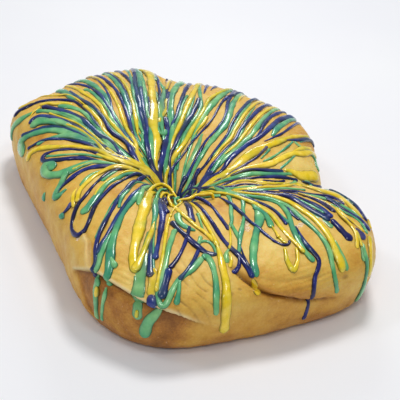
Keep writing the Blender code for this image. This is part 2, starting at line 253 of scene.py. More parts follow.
# ---------------------------------------------------------------- the strands
# One row a strand, in the order they were poured, outer end first.  Letter: Y yellow,
# G green, P purple; a small letter is a thin, see-through run.  Then places along it:
# (angle in degrees round the pit, share of the section in thousandths, width in mm).
STRANDS = (
    ("G", ((98.5, 632, 7.2), (98.5, 598, 7.2), (98.5, 566, 7.2), (98.6, 499, 7.2),
          (98.8, 425, 7.0), (99.5, 372, 5.0), (100.4, 344, 4.5), (103.0, 317, 4.2),
          (106.5, 294, 3.9), (109.8, 261, 3.2), (113.1, 209, 2.1), (115.0, 150, 1.5))),
    ("G", ((103.0, 411, 5.0), (102.8, 383, 4.3), (103.8, 346, 3.8), (105.4, 317, 3.7),
          (110.8, 275, 3.1), (113.5, 236, 2.2), (115.5, 187, 1.5))),
    ("G", ((106.9, 506, 7.1), (107.7, 462, 7.1), (109.0, 422, 6.5), (109.9, 396, 6.3),
          (109.9, 375, 2.0))),
    ("G", ((117.6, 398, 8.0), (116.0, 370, 6.2), (115.5, 336, 5.0), (119.5, 300, 4.9),
          (124.5, 283, 4.7), (128.2, 264, 4.4), (133.2, 225, 3.3), (137.3, 177, 2.5))),
    ("G", ((123.1, 453, 6.3), (122.2, 417, 5.2), (122.7, 338, 4.7), (128.0, 297, 4.2),
          (130.0, 272, 3.5), (132.0, 237, 2.8), (133.4, 207, 2.3), (134.8, 165, 1.8),
          (135.9, 129, 1.5))),
    ("G", ((127.7, 467, 5.1), (126.9, 451, 4.9), (126.4, 431, 4.6), (126.7, 378, 1.3))),
    ("G", ((129.8, 491, 7.5), (128.3, 460, 7.6), (127.6, 434, 7.2), (127.4, 357, 2.0))),
    ("G", ((138.0, 588, 9.0), (134.6, 593, 10.8), (133.8, 588, 11.0), (133.3, 571, 9.9),
          (133.0, 524, 6.5), (132.6, 482, 6.1), (130.8, 397, 6.9), (132.8, 324, 6.0),
          (137.3, 304, 5.1), (140.8, 280, 4.2), (144.7, 238, 3.3), (148.1, 191, 2.7))),
    ("G", ((138.7, 499, 4.9), (136.7, 457, 4.7), (135.6, 429, 4.7), (133.2, 378, 6.7),
          (132.4, 349, 7.3), (133.2, 319, 6.0), (135.4, 266, 4.2), (136.3, 227, 3.4),
          (137.0, 184, 2.7))),
    ("G", ((126.7, 648, 6.9), (126.5, 613, 6.9), (126.2, 567, 6.8), (125.6, 509, 7.6),
          (123.4, 456, 2.1))),
    ("G", ((147.1, 483, 2.4), (148.5, 449, 2.5), (149.1, 400, 2.9), (149.0, 352, 2.8),
          (152.0, 299, 2.2), (154.2, 226, 1.6), (155.7, 162, 1.5))),
    ("G", ((157.9, 484, 8.3), (152.8, 480, 8.4), (152.0, 489, 9.0), (152.4, 505, 9.2),
          (154.5, 520, 8.4), (158.6, 516, 7.6), (161.4, 493, 7.9), (163.3, 458, 8.3),
          (163.0, 423, 8.4), (159.9, 377, 7.4), (157.6, 339, 4.8), (161.2, 274, 3.8),
          (162.6, 241, 3.3), (164.3, 195, 2.8), (165.5, 161, 2.4), (166.9, 116, 2.0))),
    ("G", ((163.2, 433, 5.9), (171.1, 489, 5.7), (175.0, 536, 6.0), (176.8, 511, 6.2),
          (175.7, 465, 1.9))),
    ("G", ((167.5, 620, 7.6), (166.1, 571, 2.0))),
    ("G", ((190.1, 565, 7.4), (189.4, 545, 6.8), (189.8, 523, 1.9))),
    ("G", ((178.8, 416, 3.1), (173.3, 383, 3.5), (167.8, 333, 1.3))),
    ("G", ((180.2, 344, 2.4), (174.3, 317, 3.1), (167.5, 284, 1.2))),
    ("G", ((200.4, 462, 8.5), (197.4, 412, 6.2), (192.0, 362, 4.8), (180.4, 309, 4.4),
          (173.1, 268, 4.5), (165.5, 212, 4.2), (133.4, 141, 3.9), (121.8, 100, 3.3),
          (114.1, 55, 3.3))),
    ("G", ((217.7, 466, 3.1), (213.8, 399, 2.1), (205.4, 333, 0.6))),
    ("G", ((214.6, 345, 2.5), (200.7, 290, 4.3), (192.5, 252, 3.1), (187.2, 225, 2.6),
          (180.2, 181, 2.2), (174.4, 135, 1.9), (170.5, 90, 1.9), (168.1, 46, 1.9))),
    ("G", ((227.8, 589, 5.3), (229.0, 545, 6.6), (228.8, 520, 6.7), (225.1, 438, 6.6),
          (219.8, 352, 4.1), (214.8, 288, 5.1), (205.0, 229, 6.8), (194.8, 191, 6.0),
          (187.1, 136, 6.0), (182.4, 79, 6.0))),
    ("G", ((224.6, 559, 4.1), (224.8, 538, 4.4), (223.3, 487, 5.4), (222.2, 415, 2.0))),
    ("G", ((230.9, 499, 5.8), (227.5, 478, 1.7))),
    ("G", ((225.1, 755, 5.1), (225.0, 705, 5.1), (224.7, 664, 5.1), (224.2, 637, 4.9),
          (223.2, 590, 1.1))),
    ("G", ((225.4, 623, 4.4), (223.7, 585, 3.5), (224.4, 560, 0.9))),
    ("G", ((227.6, 738, 3.4), (227.7, 665, 3.4), (228.0, 631, 3.3), (228.0, 596, 1.0))),
    ("G", ((234.5, 407, 2.9), (233.0, 317, 1.2))),
    ("g", ((238.8, 612, 11.3), (239.3, 548, 10.2), (238.7, 480, 8.2), (238.1, 410, 6.2),
          (237.4, 340, 4.3))),
    ("g", ((239.5, 667, 7.7), (239.2, 631, 7.7), (238.8, 591, 7.6))),
    ("G", ((222.5, 298, 3.9), (211.9, 251, 4.2), (196.8, 202, 4.4), (190.4, 170, 3.8),
          (185.4, 137, 3.8), (181.8, 103, 3.8), (178.4, 58, 3.8))),
    ("G", ((238.6, 337, 3.5), (233.9, 269, 5.0), (225.9, 208, 4.6), (223.7, 181, 4.6),
          (221.6, 141, 4.6), (220.1, 99, 4.6), (219.3, 66, 4.6))),
    ("G", ((243.4, 478, 2.5), (240.9, 395, 2.4), (239.0, 326, 0.7))),
    ("y", ((243.4, 560, 7.2), (243.1, 507, 7.2), (242.6, 452, 7.2))),
    ("G", ((241.7, 728, 7.4), (243.1, 659, 7.4), (245.3, 632, 6.6), (246.5, 596, 1.9))),
    ("G", ((248.9, 327, 4.4), (247.0, 379, 4.2), (246.1, 458, 4.3), (245.0, 534, 4.4),
          (245.3, 561, 4.4), (246.2, 584, 4.4), (247.0, 586, 4.4), (247.7, 573, 4.4),
          (248.8, 532, 4.5), (250.6, 491, 4.6), (255.3, 451, 4.8), (259.4, 416, 4.9))),
    ("G", ((258.7, 420, 5.5), (260.7, 418, 5.4), (261.5, 426, 5.2), (262.2, 470, 4.7),
          (262.0, 517, 4.6), (261.4, 582, 4.6), (261.4, 641, 4.7))),
    ("G", ((250.1, 583, 3.9), (250.7, 540, 3.2), (251.0, 489, 2.5))),
    ("G", ((257.5, 377, 2.5), (261.6, 367, 2.6), (263.6, 371, 2.6), (264.8, 388, 2.4),
          (264.5, 417, 2.1))),
    ("G", ((260.9, 350, 3.3), (258.2, 381, 3.3))),
    ("G", ((250.1, 274, 4.6), (250.4, 298, 4.9), (252.2, 315, 5.3), (255.2, 327, 5.7),
          (259.2, 335, 1.8))),
    ("G", ((264.2, 276, 3.0), (262.6, 340, 1.3))),
    ("G", ((276.5, 338, 3.2), (292.6, 264, 3.3), (304.1, 219, 3.6))),
    ("G", ((267.4, 448, 4.3), (268.1, 421, 3.5), (271.0, 398, 0.8))),
    ("G", ((276.5, 386, 3.1), (278.4, 329, 3.1))),
    ("G", ((271.9, 434, 2.3), (278.1, 369, 3.9), (291.4, 304, 2.7), (297.9, 279, 3.7),
          (304.3, 253, 4.3), (306.6, 240, 4.9), (311.9, 197, 5.6), (339.4, 152, 4.5),
          (378.2, 107, 3.3), (406.6, 68, 3.3))),
    ("G", ((274.8, 515, 4.3), (275.8, 470, 6.0), (279.0, 421, 6.1), (285.1, 373, 5.5),
          (294.5, 329, 7.2), (298.6, 309, 6.6), (303.1, 285, 5.1), (304.7, 269, 5.6),
          (306.4, 227, 9.0), (315.3, 188, 6.6), (339.4, 152, 6.4), (378.0, 107, 5.0),
          (406.3, 67, 5.0))),
    ("y", ((274.3, 588, 7.2), (274.4, 549, 5.8), (273.4, 515, 3.2))),
    ("G", ((293.0, 369, 4.4), (297.8, 328, 4.6), (298.6, 300, 4.6))),
    ("G", ((301.0, 369, 3.7), (306.7, 304, 1.2))),
    ("G", ((295.0, 511, 4.5), (294.8, 470, 4.7), (296.5, 426, 4.7), (300.8, 378, 4.8),
          (307.1, 340, 3.9), (310.2, 317, 3.2), (307.9, 261, 2.2), (307.3, 227, 2.2),
          (315.2, 180, 2.1), (347.3, 140, 1.8), (381.5, 97, 1.5), (405.2, 64, 1.5))),
    ("G", ((296.6, 472, 2.7), (297.0, 444, 2.8), (298.6, 410, 0.9))),
    ("G", ((299.5, 659, 3.4), (298.6, 624, 3.8), (298.5, 584, 4.1), (299.6, 534, 4.2),
          (301.7, 493, 4.2), (303.5, 457, 4.0), (305.4, 414, 4.0), (307.8, 366, 4.1),
          (311.3, 325, 3.8), (311.6, 308, 3.3), (308.7, 271, 2.6), (307.6, 226, 2.6),
          (315.2, 180, 2.4), (347.3, 140, 2.1), (381.5, 97, 1.8), (405.2, 64, 1.8))),
    ("g", ((310.3, 437, 3.5), (311.5, 407, 3.7), (312.0, 371, 3.8))),
    ("G", ((314.9, 402, 2.6), (317.9, 336, 2.8), (318.5, 317, 2.3))),
    ("G", ((308.6, 581, 3.4), (310.0, 550, 3.8), (312.5, 517, 2.7))),
    ("G", ((317.3, 529, 3.4), (321.2, 497, 3.5), (321.9, 447, 2.4), (324.0, 411, 2.0))),
    ("G", ((323.5, 506, 2.9), (325.1, 475, 4.9), (326.9, 414, 4.5), (325.4, 348, 2.1))),
    ("G", ((331.4, 366, 2.4), (328.5, 319, 3.7), (320.6, 291, 3.2), (316.7, 272, 2.8),
          (312.4, 236, 2.8), (313.0, 189, 2.6), (347.3, 140, 2.1), (375.9, 104, 1.8),
          (393.0, 81, 1.8))),
    ("G", ((338.6, 463, 4.4), (338.6, 452, 4.8), (339.4, 452, 4.9), (352.1, 496, 4.3),
          (352.6, 484, 3.9), (351.8, 453, 3.2))),
    ("G", ((332.9, 528, 5.2), (336.6, 508, 7.1), (338.4, 456, 4.7))),
    ("G", ((350.4, 418, 3.1), (340.4, 331, 3.1), (338.6, 317, 3.4))),
    ("G", ((321.6, 268, 3.3), (312.0, 196, 3.7))),
    ("G", ((354.0, 413, 3.0), (350.5, 337, 4.3), (348.8, 289, 6.8), (345.4, 238, 5.0),
          (343.9, 198, 4.2), (343.0, 158, 3.5), (342.3, 118, 3.5), (341.8, 73, 3.5))),
    ("G", ((302.6, 585, 2.9), (303.7, 519, 4.9), (306.5, 463, 1.3))),
    ("G", ((309.8, 761, 5.9), (309.6, 695, 5.9), (309.0, 628, 3.6), (309.4, 595, 3.4),
          (309.9, 558, 4.4), (312.2, 527, 1.4))),
    ("G", ((1.9, 579, 4.6), (3.7, 570, 4.5), (9.1, 569, 4.3), (10.3, 517, 3.5), (12.1, 469, 3.1),
          (15.1, 438, 2.9))),
    ("G", ((367.0, 438, 2.2), (355.4, 371, 2.2))),
    ("G", ((15.1, 436, 2.3), (7.6, 373, 2.3), (2.4, 329, 2.5))),
    ("G", ((12.5, 354, 3.0), (6.2, 326, 1.1))),
    ("G", ((19.2, 564, 3.4), (17.2, 509, 3.4), (14.6, 465, 1.0))),
    ("G", ((30.0, 527, 5.2), (29.0, 487, 5.2), (26.9, 432, 5.0), (23.9, 387, 6.5),
          (19.9, 363, 2.3))),
    ("G", ((36.8, 516, 3.8), (35.8, 455, 3.8), (33.4, 383, 4.3), (30.7, 346, 5.0),
          (26.3, 313, 4.9), (22.0, 281, 4.7), (17.7, 230, 3.9), (12.7, 181, 3.8),
          (9.2, 124, 3.3), (7.3, 67, 3.3))),
    ("G", ((45.7, 568, 2.6), (45.4, 507, 2.6), (44.9, 460, 2.6), (43.2, 400, 2.6),
          (41.8, 348, 2.6), (37.0, 289, 2.6), (34.3, 262, 2.2), (32.0, 225, 1.7),
          (30.2, 177, 1.5))),
    ("G", ((50.7, 591, 5.1), (50.6, 555, 5.1), (50.4, 510, 5.1), (49.4, 433, 5.1),
          (48.7, 388, 5.5), (46.5, 341, 6.1), (42.9, 283, 6.0), (43.1, 227, 4.7),
          (41.9, 168, 3.7), (39.2, 111, 3.1), (38.1, 83, 3.1), (37.3, 52, 3.1))),
    ("G", ((53.2, 626, 5.2), (53.2, 584, 5.2), (53.3, 549, 5.2), (53.7, 470, 5.2),
          (54.7, 395, 6.1), (55.4, 356, 6.4), (56.2, 319, 6.1), (57.1, 269, 4.4),
          (57.5, 211, 2.8), (57.7, 159, 1.9), (57.8, 104, 1.5))),
    ("g", ((52.3, 253, 3.9), (51.4, 205, 3.8), (52.6, 158, 3.8), (53.8, 106, 3.3),
          (54.4, 56, 3.3))),
    ("G", ((63.5, 564, 3.8), (63.4, 506, 3.8), (62.9, 440, 3.8), (61.7, 380, 3.7),
          (59.6, 325, 3.5), (60.5, 285, 3.5), (65.0, 225, 3.4), (67.1, 183, 2.5),
          (68.4, 135, 1.8))),
    ("G", ((66.2, 368, 2.7), (68.2, 315, 2.6), (69.3, 282, 3.3), (75.1, 209, 3.1),
          (78.5, 175, 2.7), (89.1, 136, 2.2), (94.9, 99, 2.2), (98.0, 66, 2.2))),
    ("G", ((68.3, 639, 6.7), (68.4, 582, 6.7), (68.5, 534, 6.7), (68.9, 473, 6.7),
          (70.4, 411, 6.5), (71.7, 367, 6.2), (72.9, 320, 5.9), (73.7, 278, 6.2),
          (75.1, 237, 1.1))),
    ("G", ((78.7, 593, 7.3), (78.5, 533, 7.3), (78.1, 476, 7.3), (76.6, 415, 7.3),
          (74.8, 405, 6.0), (74.3, 394, 5.1), (75.3, 343, 4.4), (77.4, 305, 4.7),
          (79.7, 271, 4.5), (81.3, 237, 3.2), (82.4, 194, 2.2))),
    ("G", ((78.5, 341, 2.7), (79.4, 289, 1.2))),
    ("G", ((81.1, 521, 6.0), (81.3, 468, 6.0), (82.0, 406, 6.2), (83.3, 341, 5.3),
          (84.5, 311, 4.6), (86.2, 288, 4.7), (87.8, 266, 4.1), (89.2, 236, 3.1),
          (90.1, 204, 2.3), (90.7, 169, 1.8))),
    ("G", ((92.6, 213, 3.9), (96.2, 189, 3.6), (109.0, 154, 2.8), (114.8, 121, 2.3),
          (119.3, 79, 2.3))),
    ("G", ((81.3, 637, 4.7), (81.4, 586, 4.7), (81.4, 541, 4.7), (81.6, 483, 4.7),
          (82.2, 428, 4.7), (83.8, 363, 4.6), (85.5, 329, 4.0), (87.7, 305, 2.8),
          (89.2, 285, 2.8), (90.4, 255, 2.8), (93.6, 229, 0.8))),
    ("G", ((84.0, 574, 2.9), (84.0, 532, 2.9), (84.1, 497, 2.9), (85.0, 415, 2.9),
          (86.6, 369, 3.1), (88.1, 336, 3.2), (90.6, 304, 3.2), (93.9, 268, 3.7),
          (99.9, 220, 2.8), (106.6, 197, 2.7), (110.1, 179, 2.3), (113.2, 153, 2.3),
          (115.2, 123, 2.3), (116.5, 90, 2.3), (117.3, 63, 2.3))),
    ("G", ((90.2, 515, 5.8), (90.5, 452, 5.8), (91.2, 383, 5.4), (93.2, 325, 3.9),
          (95.6, 298, 3.2), (98.6, 273, 3.2), (101.3, 241, 2.4), (103.1, 207, 1.8),
          (104.4, 170, 1.5), (105.4, 129, 1.5))),
    ("G", ((91.2, 383, 1.6), (92.9, 331, 4.4), (95.6, 298, 4.6), (100.3, 262, 4.6),
          (105.0, 235, 4.2), (108.2, 207, 3.3), (110.6, 176, 2.7), (112.6, 141, 2.1),
          (114.3, 102, 1.7))),
    ("G", ((106.1, 310, 1.7), (110.3, 284, 4.9), (113.3, 257, 5.5), (115.6, 231, 5.5),
          (118.8, 189, 5.6), (120.7, 155, 4.7), (121.6, 124, 4.7), (122.2, 90, 4.7),
          (122.7, 52, 4.7))),
    ("G", ((87.1, 270, 1.6), (93.0, 210, 5.6), (107.0, 161, 5.6), (114.0, 135, 5.5),
          (118.4, 112, 4.7), (124.3, 58, 4.7))),
    ("G", ((74.2, 412, 1.9), (75.1, 361, 4.1), (77.7, 307, 7.4), (79.4, 280, 7.0),
          (81.1, 246, 5.4), (82.2, 210, 3.9), (82.9, 170, 2.8), (83.3, 132, 2.1),
          (83.6, 95, 1.7))),
    ("G", ((72.7, 275, 2.1), (73.5, 236, 4.5), (75.6, 202, 4.5), (89.5, 137, 4.5),
          (97.0, 102, 3.9), (101.7, 59, 3.9))),
    ("G", ((63.4, 367, 1.0), (63.9, 319, 2.8), (65.1, 279, 3.2), (66.8, 239, 3.1),
          (69.3, 203, 3.1), (71.3, 166, 2.6), (72.2, 132, 2.6), (72.7, 100, 2.6),
          (73.0, 64, 2.6))),
    ("G", ((401.3, 421, 0.9), (399.5, 372, 2.1), (397.3, 337, 2.8), (389.9, 290, 2.8),
          (386.3, 262, 2.8), (379.5, 216, 4.0), (365.3, 164, 3.7), (355.5, 126, 3.2),
          (347.0, 68, 3.2))),
    ("G", ((116.9, 315, 1.4), (124.9, 274, 4.7), (128.6, 257, 5.1), (134.5, 221, 4.6),
          (139.3, 181, 3.7))),
    ("G", ((88.3, 376, 1.1), (89.8, 337, 3.0), (92.1, 307, 3.7), (96.6, 261, 3.3),
          (99.4, 207, 2.1), (100.3, 177, 1.6), (101.0, 144, 1.5))),
    ("G", ((121.4, 378, 1.3), (121.3, 346, 3.9), (122.3, 323, 3.9), (125.1, 289, 4.1),
          (130.2, 269, 4.8), (132.5, 253, 4.8), (135.9, 221, 3.9), (138.8, 188, 3.3),
          (141.6, 151, 2.7), (143.7, 122, 2.4))),
    ("G", ((127.0, 424, 2.1), (126.5, 386, 6.4), (126.8, 361, 4.9), (130.6, 311, 5.8),
          (132.2, 286, 4.3), (134.6, 234, 3.1), (136.1, 185, 2.4))),
    ("G", ((101.3, 377, 1.1), (102.7, 331, 3.3), (107.1, 287, 3.3), (111.7, 247, 3.3),
          (115.4, 216, 1.0))),
    ("G", ((107.5, 406, 1.3), (108.8, 365, 3.5), (110.7, 328, 3.8), (113.4, 288, 3.7),
          (116.7, 254, 3.8), (120.4, 201, 2.6), (121.8, 167, 2.1), (122.7, 137, 1.8))),
    ("Y", ((372.2, 595, 5.9), (370.8, 536, 5.9), (368.2, 466, 8.7), (366.9, 417, 6.9),
          (359.3, 342, 8.1), (355.9, 287, 6.8), (351.8, 241, 6.9), (348.2, 185, 5.2),
          (345.9, 135, 4.1))),
    ("Y", ((379.2, 531, 4.4), (377.7, 444, 5.5), (376.3, 394, 6.1), (374.6, 350, 7.6),
          (371.2, 299, 9.7), (355.8, 229, 7.5), (352.9, 215, 7.2), (353.9, 190, 5.7),
          (349.4, 150, 3.9), (347.5, 106, 3.9), (346.4, 71, 3.9))),
    ("Y", ((38.3, 564, 4.1), (38.1, 517, 4.1), (37.7, 478, 4.1), (36.9, 428, 4.1),
          (35.8, 384, 3.8), (32.0, 322, 3.7), (26.1, 282, 3.7), (24.0, 266, 3.7),
          (21.6, 230, 1.1))),
    ("Y", ((43.3, 558, 4.3), (43.1, 499, 4.3), (42.8, 453, 4.3), (42.0, 401, 4.2),
          (40.8, 358, 3.8), (37.4, 308, 3.6), (32.8, 268, 3.4), (30.8, 231, 3.4),
          (27.6, 194, 1.0))),
    ("Y", ((49.3, 627, 2.8), (49.2, 567, 2.8), (49.0, 506, 2.8), (48.6, 449, 2.8),
          (47.5, 394, 0.8))),
    ("Y", ((53.8, 524, 4.9), (54.9, 443, 4.9), (57.7, 366, 4.3), (57.9, 311, 4.0),
          (59.6, 262, 4.4), (66.4, 194, 4.8), (83.4, 135, 3.9), (98.2, 106, 3.4),
          (109.7, 64, 3.4))),
    ("Y", ((54.7, 305, 3.2), (55.1, 277, 3.1), (57.8, 235, 1.1))),
    ("Y", ((63.2, 581, 6.1), (63.3, 547, 6.1), (63.4, 505, 6.1), (63.9, 419, 6.0),
          (64.6, 368, 5.8), (65.3, 333, 5.4), (66.7, 299, 5.1), (68.5, 258, 4.5),
          (72.2, 219, 3.8), (77.6, 166, 2.9), (80.2, 112, 2.9), (81.2, 62, 2.9))),
    ("Y", ((88.4, 520, 3.4), (88.5, 476, 3.4), (88.6, 438, 3.4), (88.8, 393, 3.4),
          (89.3, 353, 3.4), (91.4, 313, 3.7), (94.5, 281, 4.1), (98.3, 251, 4.3),
          (104.2, 222, 1.7))),
    ("P", ((94.4, 561, 2.4), (94.6, 520, 2.4), (94.9, 475, 2.4), (96.3, 398, 2.3),
          (97.7, 362, 2.2), (99.9, 332, 2.3), (106.8, 294, 3.1), (109.4, 277, 2.8),
          (115.8, 224, 2.9), (119.8, 197, 3.1), (127.7, 188, 3.2), (133.8, 170, 2.7),
          (139.0, 146, 2.7), (143.5, 117, 2.7), (150.0, 54, 2.7))),
    ("P", ((101.9, 539, 3.9), (101.8, 478, 3.9), (101.1, 421, 3.7), (101.7, 355, 3.7),
          (105.0, 310, 3.4), (109.8, 275, 3.0), (112.3, 229, 2.2), (113.9, 187, 1.6))),
    ("P", ((106.8, 440, 3.4), (108.8, 389, 3.4), (110.0, 330, 4.1), (112.6, 300, 3.2),
          (119.3, 251, 4.7), (119.3, 218, 4.9), (129.8, 190, 5.9), (135.5, 171, 5.0),
          (143.1, 126, 5.0), (148.7, 74, 5.0))),
    ("P", ((122.9, 571, 6.4), (121.7, 528, 6.4), (121.2, 505, 5.8), (117.2, 462, 5.2),
          (113.2, 412, 4.8), (111.7, 381, 3.9), (112.2, 357, 3.3), (114.5, 324, 3.1),
          (120.7, 292, 3.3), (124.0, 272, 2.7), (126.3, 248, 2.3), (128.6, 215, 1.8),
          (130.4, 178, 1.5), (131.7, 145, 1.5))),
    ("P", ((120.0, 439, 5.8), (119.7, 377, 5.9), (120.0, 333, 6.4), (123.0, 307, 5.0),
          (127.1, 288, 5.2), (128.4, 262, 5.5), (132.9, 246, 5.6), (137.7, 226, 4.9),
          (143.2, 195, 4.1), (148.8, 157, 3.4), (154.5, 116, 2.8))),
    ("P", ((128.6, 485, 3.9), (126.7, 470, 4.8), (125.3, 443, 5.4), (124.8, 414, 4.8),
          (124.9, 367, 3.5), (126.5, 327, 3.3), (132.4, 293, 3.6), (135.4, 271, 3.4),
          (139.2, 233, 2.7), (142.0, 198, 2.3), (145.3, 151, 1.8), (147.8, 110, 1.5))),
    ("P", ((132.0, 553, 3.8), (131.5, 495, 3.4), (130.0, 429, 3.7), (128.9, 388, 2.9),
          (129.3, 355, 2.7), (131.7, 318, 2.8), (136.5, 298, 2.7), (140.5, 261, 2.1),
          (144.6, 209, 1.6), (148.3, 150, 1.5))),
    ("P", ((138.0, 554, 2.8), (138.0, 506, 3.0), (136.5, 442, 3.0), (135.3, 341, 3.2),
          (135.8, 324, 3.2), (144.0, 273, 3.1), (141.8, 249, 3.2), (141.1, 222, 2.8),
          (139.8, 167, 2.1))),
    ("P", ((145.2, 311, 3.4), (143.2, 330, 3.5), (143.8, 370, 3.6), (145.3, 462, 3.7),
          (146.0, 484, 4.4), (147.5, 501, 4.6), (149.6, 498, 4.3), (152.1, 438, 4.7),
          (153.2, 360, 5.0), (155.5, 320, 1.1))),
    ("P", ((162.7, 282, 3.8), (163.6, 347, 5.0), (165.4, 382, 4.1), (169.0, 428, 4.2),
          (174.0, 507, 1.1))),
    ("P", ((188.4, 471, 3.2), (189.8, 503, 3.3), (189.4, 543, 1.0))),
    ("P", ((200.6, 398, 4.1), (208.8, 464, 3.9), (209.7, 494, 4.2), (208.6, 514, 4.2),
          (205.6, 530, 4.1), (201.9, 533, 3.9), (199.1, 523, 3.8), (196.1, 499, 3.6),
          (193.3, 466, 3.6), (189.7, 412, 3.2), (178.4, 351, 3.0), (173.1, 326, 3.0),
          (169.8, 307, 3.1), (166.6, 275, 3.0), (162.5, 231, 2.5), (158.3, 176, 2.0),
          (154.1, 111, 1.5))),
    ("P", ((204.5, 425, 2.7), (200.2, 393, 3.2), (196.1, 358, 3.4), (186.2, 296, 2.9),
          (173.8, 243, 3.0), (167.0, 214, 3.0), (160.4, 171, 2.5), (156.1, 128, 2.5),
          (152.7, 73, 2.5))),
    ("P", ((221.5, 600, 4.6), (223.3, 549, 4.4), (219.3, 480, 3.9), (217.3, 440, 3.9),
          (212.0, 360, 3.3), (204.1, 315, 3.2), (197.8, 283, 3.8), (178.9, 217, 4.1),
          (128.8, 130, 3.2), (121.0, 117, 2.6), (114.6, 102, 2.6), (102.6, 60, 2.6))),
    ("P", ((222.2, 505, 3.9), (220.9, 430, 3.5), (218.8, 375, 3.4), (213.5, 309, 3.2),
          (205.9, 250, 3.4), (196.6, 210, 3.2), (191.8, 177, 2.7), (187.1, 132, 2.7),
          (183.4, 75, 2.7))),
    ("P", ((242.2, 488, 4.9), (240.4, 409, 3.9), (238.3, 338, 0.9))),
    ("P", ((242.4, 428, 4.6), (242.3, 366, 3.7), (241.1, 297, 5.8), (239.4, 263, 6.3),
          (234.0, 226, 6.2), (229.6, 195, 5.2), (225.0, 159, 5.2), (219.8, 119, 5.2),
          (213.7, 76, 5.2))),
    ("P", ((243.1, 273, 4.7), (237.4, 224, 4.9), (231.0, 165, 4.2), (224.7, 107, 4.2),
          (218.3, 52, 4.2))),
    ("P", ((243.6, 614, 6.8), (243.7, 583, 6.8), (243.1, 545, 6.8))),
    ("P", ((246.0, 563, 6.4), (246.8, 504, 6.2), (247.7, 449, 6.0))),
    ("P", ((247.7, 452, 3.2), (250.5, 415, 3.2), (252.2, 388, 3.1), (256.1, 323, 3.1))),
    ("P", ((250.6, 492, 3.3), (255.0, 437, 3.1), (259.0, 384, 2.9))),
    ("P", ((246.7, 303, 4.2), (251.0, 332, 4.4), (255.9, 367, 5.0), (261.0, 403, 5.0),
          (263.4, 412, 5.0), (265.2, 412, 1.5))),
    ("P", ((258.2, 311, 5.1), (259.4, 261, 5.8), (260.0, 198, 5.3), (260.7, 134, 5.3),
          (261.4, 71, 5.3))),
    ("P", ((275.3, 346, 3.1), (276.9, 292, 3.1), (279.6, 240, 3.2))),
    ("P", ((273.8, 516, 4.3), (272.8, 440, 4.6), (270.2, 374, 3.7), (269.9, 311, 3.4),
          (269.8, 261, 3.4), (270.3, 210, 3.0), (270.7, 166, 3.0), (271.1, 118, 3.0),
          (271.5, 63, 3.0))),
    ("P", ((267.8, 481, 3.8), (270.3, 470, 3.7), (272.6, 430, 1.2))),
    ("P", ((273.8, 507, 2.6), (273.9, 446, 2.2), (275.3, 400, 0.8))),
    ("P", ((293.8, 418, 2.3), (292.7, 429, 2.3), (290.7, 431, 2.5), (289.2, 418, 2.5),
          (288.7, 397, 2.5), (288.7, 325, 2.9), (290.1, 299, 3.5), (292.9, 253, 2.8),
          (297.6, 210, 0.9))),
    ("P", ((299.5, 372, 2.7), (305.5, 306, 2.9), (305.3, 249, 3.5), (310.5, 206, 3.8),
          (335.7, 154, 3.9), (372.7, 115, 3.2), (394.7, 85, 3.2), (419.0, 50, 3.2))),
    ("P", ((290.9, 744, 3.7), (290.9, 696, 3.7), (291.2, 638, 3.7), (291.6, 598, 3.6),
          (292.8, 565, 3.8), (296.7, 507, 4.0), (297.3, 443, 4.2), (301.9, 380, 1.2))),
    ("P", ((306.0, 373, 2.4), (307.3, 349, 2.3), (309.8, 333, 2.2))),
    ("P", ((312.7, 422, 5.0), (313.8, 372, 5.7), (317.5, 315, 4.5), (311.9, 265, 2.4),
          (310.0, 229, 2.5), (314.0, 184, 2.3), (338.5, 147, 1.9), (370.3, 112, 1.6),
          (387.1, 89, 1.6), (411.4, 55, 1.6))),
    ("P", ((314.2, 421, 6.3), (316.5, 398, 5.9), (320.1, 343, 2.9), (320.8, 329, 2.6),
          (319.7, 313, 2.4))),
    ("P", ((310.3, 499, 8.5), (310.6, 474, 6.7), (313.4, 420, 4.7))),
    ("P", ((318.2, 424, 4.4), (321.9, 391, 5.5), (324.1, 335, 2.6), (314.5, 275, 2.5),
          (311.8, 221, 2.6), (313.8, 185, 2.3), (338.5, 147, 1.9), (370.3, 112, 1.6),
          (387.1, 89, 1.6), (405.3, 64, 1.6))),
    ("P", ((316.8, 467, 4.1), (317.3, 451, 4.0), (318.7, 440, 3.2))),
    ("P", ((313.9, 527, 10.5), (315.8, 481, 4.2))),
    ("P", ((320.6, 544, 7.9), (322.7, 508, 5.6), (323.5, 456, 4.2), (326.9, 402, 2.7))),
    ("P", ((328.1, 458, 3.0), (330.3, 443, 4.1), (330.8, 429, 4.4), (327.8, 373, 3.5),
          (326.2, 329, 2.8), (322.3, 306, 2.4))),
    ("P", ((326.2, 444, 3.2), (327.6, 399, 3.2))),
    ("P", ((326.6, 545, 6.3), (331.2, 536, 6.9), (336.0, 512, 5.3), (337.6, 485, 5.2),
          (338.6, 449, 5.6))),
    ("P", ((355.7, 630, 2.2), (354.2, 586, 2.3), (353.1, 533, 2.4), (351.6, 442, 1.9))),
    ("P", ((351.4, 429, 3.5), (348.9, 344, 4.5), (341.9, 278, 3.7), (337.3, 209, 3.2),
          (334.2, 194, 3.3), (325.9, 179, 3.3))),
    ("P", ((348.0, 371, 2.8), (339.1, 294, 2.5))),
    ("P", ((325.0, 282, 3.3), (327.4, 259, 4.3), (327.4, 238, 4.0), (318.9, 213, 3.6),
          (313.7, 189, 3.9))),
    ("P", ((354.2, 382, 2.8), (353.5, 346, 4.7), (353.7, 290, 3.0), (348.7, 231, 2.3))),
    ("P", ((374.2, 346, 2.7), (366.0, 306, 2.7), (354.1, 248, 2.5), (347.4, 194, 1.9),
          (341.9, 126, 1.5))),
    ("P", ((18.9, 612, 3.9), (18.5, 570, 3.9), (17.5, 517, 3.9), (16.0, 467, 3.9),
          (15.8, 404, 0.9))),
    ("P", ((28.9, 585, 2.9), (27.5, 520, 2.9), (24.2, 452, 2.8), (19.8, 387, 2.7),
          (18.2, 337, 0.9))),
